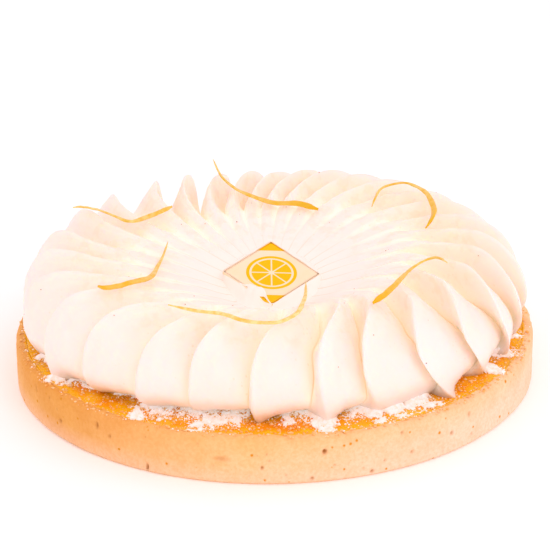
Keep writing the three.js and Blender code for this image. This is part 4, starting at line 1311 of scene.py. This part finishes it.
def foot_line():
    """Radius of the meringue's foot against azimuth, read off the petals."""
    feet = np.vstack([petal_grid(i)[0][0] for i in range(PETALS)])
    azimuth = np.degrees(np.arctan2(feet[:, 1], feet[:, 0])) % 360
    order = np.argsort(azimuth)
    return azimuth[order], np.linalg.norm(feet[order, :2], axis=1)


FOOT_AZIMUTH, FOOT_RADIUS = foot_line()


def foot_radius(azimuth):
    return np.interp(azimuth % 360, FOOT_AZIMUTH, FOOT_RADIUS, period=360)


print("feet from", round(float(FOOT_RADIUS.min()), 1), "to", round(float(FOOT_RADIUS.max()), 1), "mm")

# %% The drifts
DRIFT_COLUMNS, DRIFT_ROWS, DRIFT_TO = 2000, 52, 108.9
DRIFT_TUCK = 3                      # how far it reaches in under the petals
PILE_HEIGHT, PILE_REACH = 2.6, 2.6  # it is banked up against the feet
CLODS = ((5, 1.0), (2.4, 1.1), (1.1, 0.9))
DRIFT_UNDER = 0.5                   # how far its underside sinks below the surface


def build_drifts(material):
    azimuth = np.arange(DRIFT_COLUMNS) * 360 / DRIFT_COLUMNS
    start = foot_radius(azimuth) - DRIFT_TUCK
    r = mix(start, DRIFT_TO, np.linspace(0, 1, DRIFT_ROWS)[:, None])
    a = np.broadcast_to(azimuth, r.shape)
    base = polar(r, a, rim_surface(r, a)).reshape(-1, 3)
    out = (r - start - DRIFT_TUCK).ravel()
    wanted = drift(a.ravel(), np.clip(out, 0, None))
    bank = np.exp(-((np.clip(out, 0, None) / PILE_REACH) ** 2))
    clods = sum(high * lumps(base, size, 120 + k) for k, (size, high) in enumerate(CLODS))
    cover = 0.95 * wanted + 2.2 * bank * smooth((wanted - 0.2) / 0.3) + clods * smooth(0.4 + wanted)
    cover -= 1.2 - 0.7 * smooth(wanted / 0.3) + 0.5 * smooth((r.ravel() - (DRIFT_TO - 1.5)) / 1.5)
    height = 0.9 * np.clip(cover, -0.4, 1.2)
    height += PILE_HEIGHT * bank * np.clip(wanted, 0, 1) * smooth(cover + 0.5)
    top = base + np.outer(height + 0.12 * lumps(base, 0.6, 125), [0, 0, 1])
    keep = (cover > -0.1).reshape(r.shape)
    corners = [keep[:-1], keep[1:], np.roll(keep, -1, 1)[:-1], np.roll(keep, -1, 1)[1:]]
    kept = grid_faces(DRIFT_ROWS, DRIFT_COLUMNS, around=True)[np.logical_and.reduce(corners).ravel()]
    used, faces = np.unique(kept, return_inverse=True)
    faces = faces.reshape(kept.shape)
    piece = make_piece("icing_sugar_drifts", top[used], faces[:, ::-1], material, slot="meringue")
    solid = piece.modifiers.new("depth", "SOLIDIFY")
    solid.thickness = DRIFT_UNDER * MM
    solid.offset = -1
    return piece


SUGAR_WHITE, SUGAR_WARM = colour(0.80, 0.765, 0.755), colour(0.78, 0.62, 0.50)
# A painted glow: the sugar emits light of its own colour, which keeps it white in the petals' shade.
SUGAR_PAINTED_GLOW = 0.37                   # light that the fine crystals hand on among themselves


def sugar_material():
    material, tree, shader = new_material("icing_sugar", Roughness=0.9, Specular_IOR_Level=0.2)
    base = use(tree, PATCHES, Patches=520.0, Low=SUGAR_WHITE, High=SUGAR_WARM)["Color"]
    base = mix_colour(tree, 0.3, base, SUGAR_WHITE)
    tree.links.new(base, shader.inputs["Base Color"])
    # Painted glow in the sugar's own colour.
    tree.links.new(base, shader.inputs["Emission Color"])
    shader.inputs["Emission Strength"].default_value = SUGAR_PAINTED_GLOW
    bump(tree, shader, use(tree, CRUMB, Grain=1700.0)["Height"], 0.3, 0.6)
    return material


SUGAR = sugar_material()
drifts = build_drifts(SUGAR)
print("drifts:", triangles(drifts), "triangles before they get their depth")

# %% Grains: many small stones in one mesh
GOLDEN = (1 + math.sqrt(5)) / 2
STONE = np.array([(a, b * GOLDEN, 0) for a in (-1, 1) for b in (-1, 1)]
                 + [(0, a, b * GOLDEN) for a in (-1, 1) for b in (-1, 1)]
                 + [(a * GOLDEN, 0, b) for a in (-1, 1) for b in (-1, 1)], float)
STONE /= np.linalg.norm(STONE[0])


def stone_faces():
    """The twenty triangles of an icosahedron: every three corners that are neighbours."""
    side = min(np.linalg.norm(STONE[0] - STONE[k]) for k in range(1, 12)) * 1.01
    near = np.linalg.norm(STONE[:, None] - STONE[None], axis=-1) < side
    faces = []
    for a, b, c in itertools.combinations(range(12), 3):
        if near[a, b] and near[b, c] and near[a, c]:
            outward = np.dot(np.cross(STONE[b] - STONE[a], STONE[c] - STONE[a]), STONE[a]) > 0
            faces.append((a, b, c) if outward else (a, c, b))
    return np.array(faces)


STONE_FACES = stone_faces()


def build_grains(name, places, sizes, material, seed, slot, flat=0.75):
    """One mesh of stones at the places, with the sizes as radii."""
    rng = np.random.default_rng(seed)
    count = len(places)
    corners = STONE[None] * rng.uniform(0.7, 1.25, (count, 12, 1))
    axes = np.linalg.qr(rng.normal(size=(count, 3, 3)))[0]
    corners = corners @ axes * sizes[:, None, None]
    corners[..., 2] *= flat
    points = (corners + places[:, None]).reshape(-1, 3)
    faces = (STONE_FACES[None] + 12 * np.arange(count)[:, None, None]).reshape(-1, 3)
    return make_piece(name, points, faces, material, slot=slot)


print("a stone has", len(STONE_FACES), "faces")

# %% Scatter the sugar grains and the crumbs
SUGAR_GRAINS, CRUMBS = 6000, 4600
TRIES = 20                          # places drawn for each one that is kept
BAND_FROM = 82                      # the innermost radius where a grain may fall
PASTRY_CRUMB, CRUMB_DARK = colour(0.95, 0.70, 0.34), colour(0.90, 0.48, 0.12)


def scatter(count, seed, spread, outer=109.3, rough=0.35):
    """Places on the rim band where sugar or crumbs gather, and how thick the drift is there."""
    rng = np.random.default_rng(seed)
    azimuth = rng.uniform(0, 360, TRIES * count)
    radius = rng.uniform(BAND_FROM, outer, TRIES * count)
    out = radius - foot_radius(azimuth)
    wanted = drift(azimuth, np.clip(out, 0, None))
    chance = spread + wanted / 1.3 * (1 - spread)
    kept = np.flatnonzero((rng.random(TRIES * count) < chance) & (out > -1))[:count]
    azimuth, radius, wanted = azimuth[kept], radius[kept], wanted[kept]
    z = rim_surface(radius, azimuth) + rng.uniform(-0.1, rough, len(kept)) * (0.4 + wanted)
    return polar(radius, azimuth, z), rng


def crumb_material():
    material, tree, shader = new_material("pastry_crumbs", Roughness=0.75, Specular_IOR_Level=0.3)
    base = use(tree, PATCHES, Patches=480.0, Low=PASTRY_CRUMB, High=CRUMB_DARK)["Color"]
    tree.links.new(base, shader.inputs["Base Color"])
    bump(tree, shader, use(tree, CRUMB, Grain=1800.0)["Height"], 0.2, 0.5)
    return material


sugar_places, rng = scatter(SUGAR_GRAINS, 5, 0.015, rough=0.8)
sugar_sizes = 0.16 + 0.34 * rng.random(len(sugar_places)) ** 2.5
grains = build_grains("icing_sugar_grains", sugar_places, sugar_sizes, SUGAR, 6, "meringue")
crumb_places, rng = scatter(CRUMBS, 8, 0.55)
crumb_sizes = 0.24 + 0.6 * rng.random(len(crumb_places)) ** 3
crumbs = build_grains("pastry_crumbs", crumb_places, crumb_sizes, crumb_material(), 9, "pastry")
print("grains:", triangles(grains) // len(STONE_FACES), "crumbs:", triangles(crumbs) // len(STONE_FACES))

# %% [markdown]
# Vanilla seeds show in the meringue as a few dark specks. Each is a flattened stone set into a
# petal's surface at a chosen petal, row and column of its grid.

# %% Vanilla specks
VANILLA_SPECKS = 46
VANILLA_BROWN, VANILLA_TAN = colour(0.20, 0.10, 0.04), colour(0.42, 0.26, 0.12)


def vanilla_material():
    material, tree, shader = new_material("vanilla_seed", Roughness=0.6)
    base = use(tree, PATCHES, Patches=900.0, Low=VANILLA_BROWN, High=VANILLA_TAN)["Color"]
    tree.links.new(base, shader.inputs["Base Color"])
    bump(tree, shader, use(tree, CRUMB, Grain=3000.0)["Height"], 0.1, 0.4)
    return material


def build_specks():
    rng = np.random.default_rng(3)
    places = []
    for _ in range(VANILLA_SPECKS):
        i = int(rng.integers(PETALS))
        grid, depth, _ = petal_grid(i)
        grid, _ = rough_petal(i, grid, depth)
        row, column = int(rng.integers(8, BULB_ROWS + 30)), int(rng.integers(8, STEEP_COLUMNS + 18))
        places.append(grid[row, column])
    sizes = 0.18 + 0.22 * rng.random(len(places)) ** 2
    return build_grains("vanilla_specks", np.array(places), sizes, vanilla_material(), 4, "meringue",
                        flat=0.6)


specks = build_specks()
print("specks:", triangles(specks) // len(STONE_FACES))

# %% [markdown]
# ## Table and light
#
# The pie stands on a white table under a big soft light, so bright that the white nearly burns out
# and the grooves stay luminous. A nearly white world gives the even light from all sides, and one
# large area lamp, to the right of the camera, shapes the petals. The table itself glows faintly.

# %% The table
TABLE_GLOW = 0.12                   # the table is a milky sheet with a lamp under it
TABLE_HALF = 3.0                    # metres
TABLE_WHITE, TABLE_PALE = colour(0.97, 0.97, 0.97), colour(0.98, 0.98, 0.98)


def build_table():
    mesh = bpy.data.meshes.new("table")
    corners = [(x * TABLE_HALF, y * TABLE_HALF, 0) for x, y in ((-1, -1), (1, -1), (1, 1), (-1, 1))]
    mesh.from_pydata(corners, [], [(0, 1, 2, 3)])
    material, tree, shader = new_material("white_table", Roughness=0.7, Specular_IOR_Level=0.1)
    paper = use(tree, PATCHES, Patches=3.0, Low=TABLE_WHITE, High=TABLE_PALE)["Color"]
    tree.links.new(paper, shader.inputs["Base Color"])
    shader.inputs["Emission Color"].default_value = colour(1, 1, 1)
    shader.inputs["Emission Strength"].default_value = TABLE_GLOW
    mesh.materials.append(material)
    table = bpy.data.objects.new("table", mesh)
    bpy.context.scene.collection.objects.link(table)
    return table


table = build_table()

# %% The light
WORLD_LIGHT = (1.12, 0.89, 0.90)
KEY_PLACE, KEY_SIZE, KEY_WATTS = (0.6, -1.05, 1.1), 0.7, 4.5
KEY_TINT = (1.0, 0.66, 0.72)


def area_light(name, place, size, watts, tint):
    """A square soft light that looks at the middle of the pie."""
    data = bpy.data.lights.new(name, "AREA")
    data.size, data.energy, data.color = size, watts, tint
    lamp = bpy.data.objects.new(name, data)
    lamp.location = place
    lamp.rotation_euler = (Vector((0, 0, 0.03)) - Vector(place)).to_track_quat("-Z", "Y").to_euler()
    bpy.context.scene.collection.objects.link(lamp)
    return lamp


world = bpy.data.worlds.new("white_room")
bpy.context.scene.world = world
world.use_nodes = True
world.node_tree.nodes["Background"].inputs["Color"].default_value = colour(*WORLD_LIGHT)
area_light("key_right", KEY_PLACE, KEY_SIZE, KEY_WATTS, KEY_TINT)
bpy.context.scene.view_settings.view_transform = "Standard"
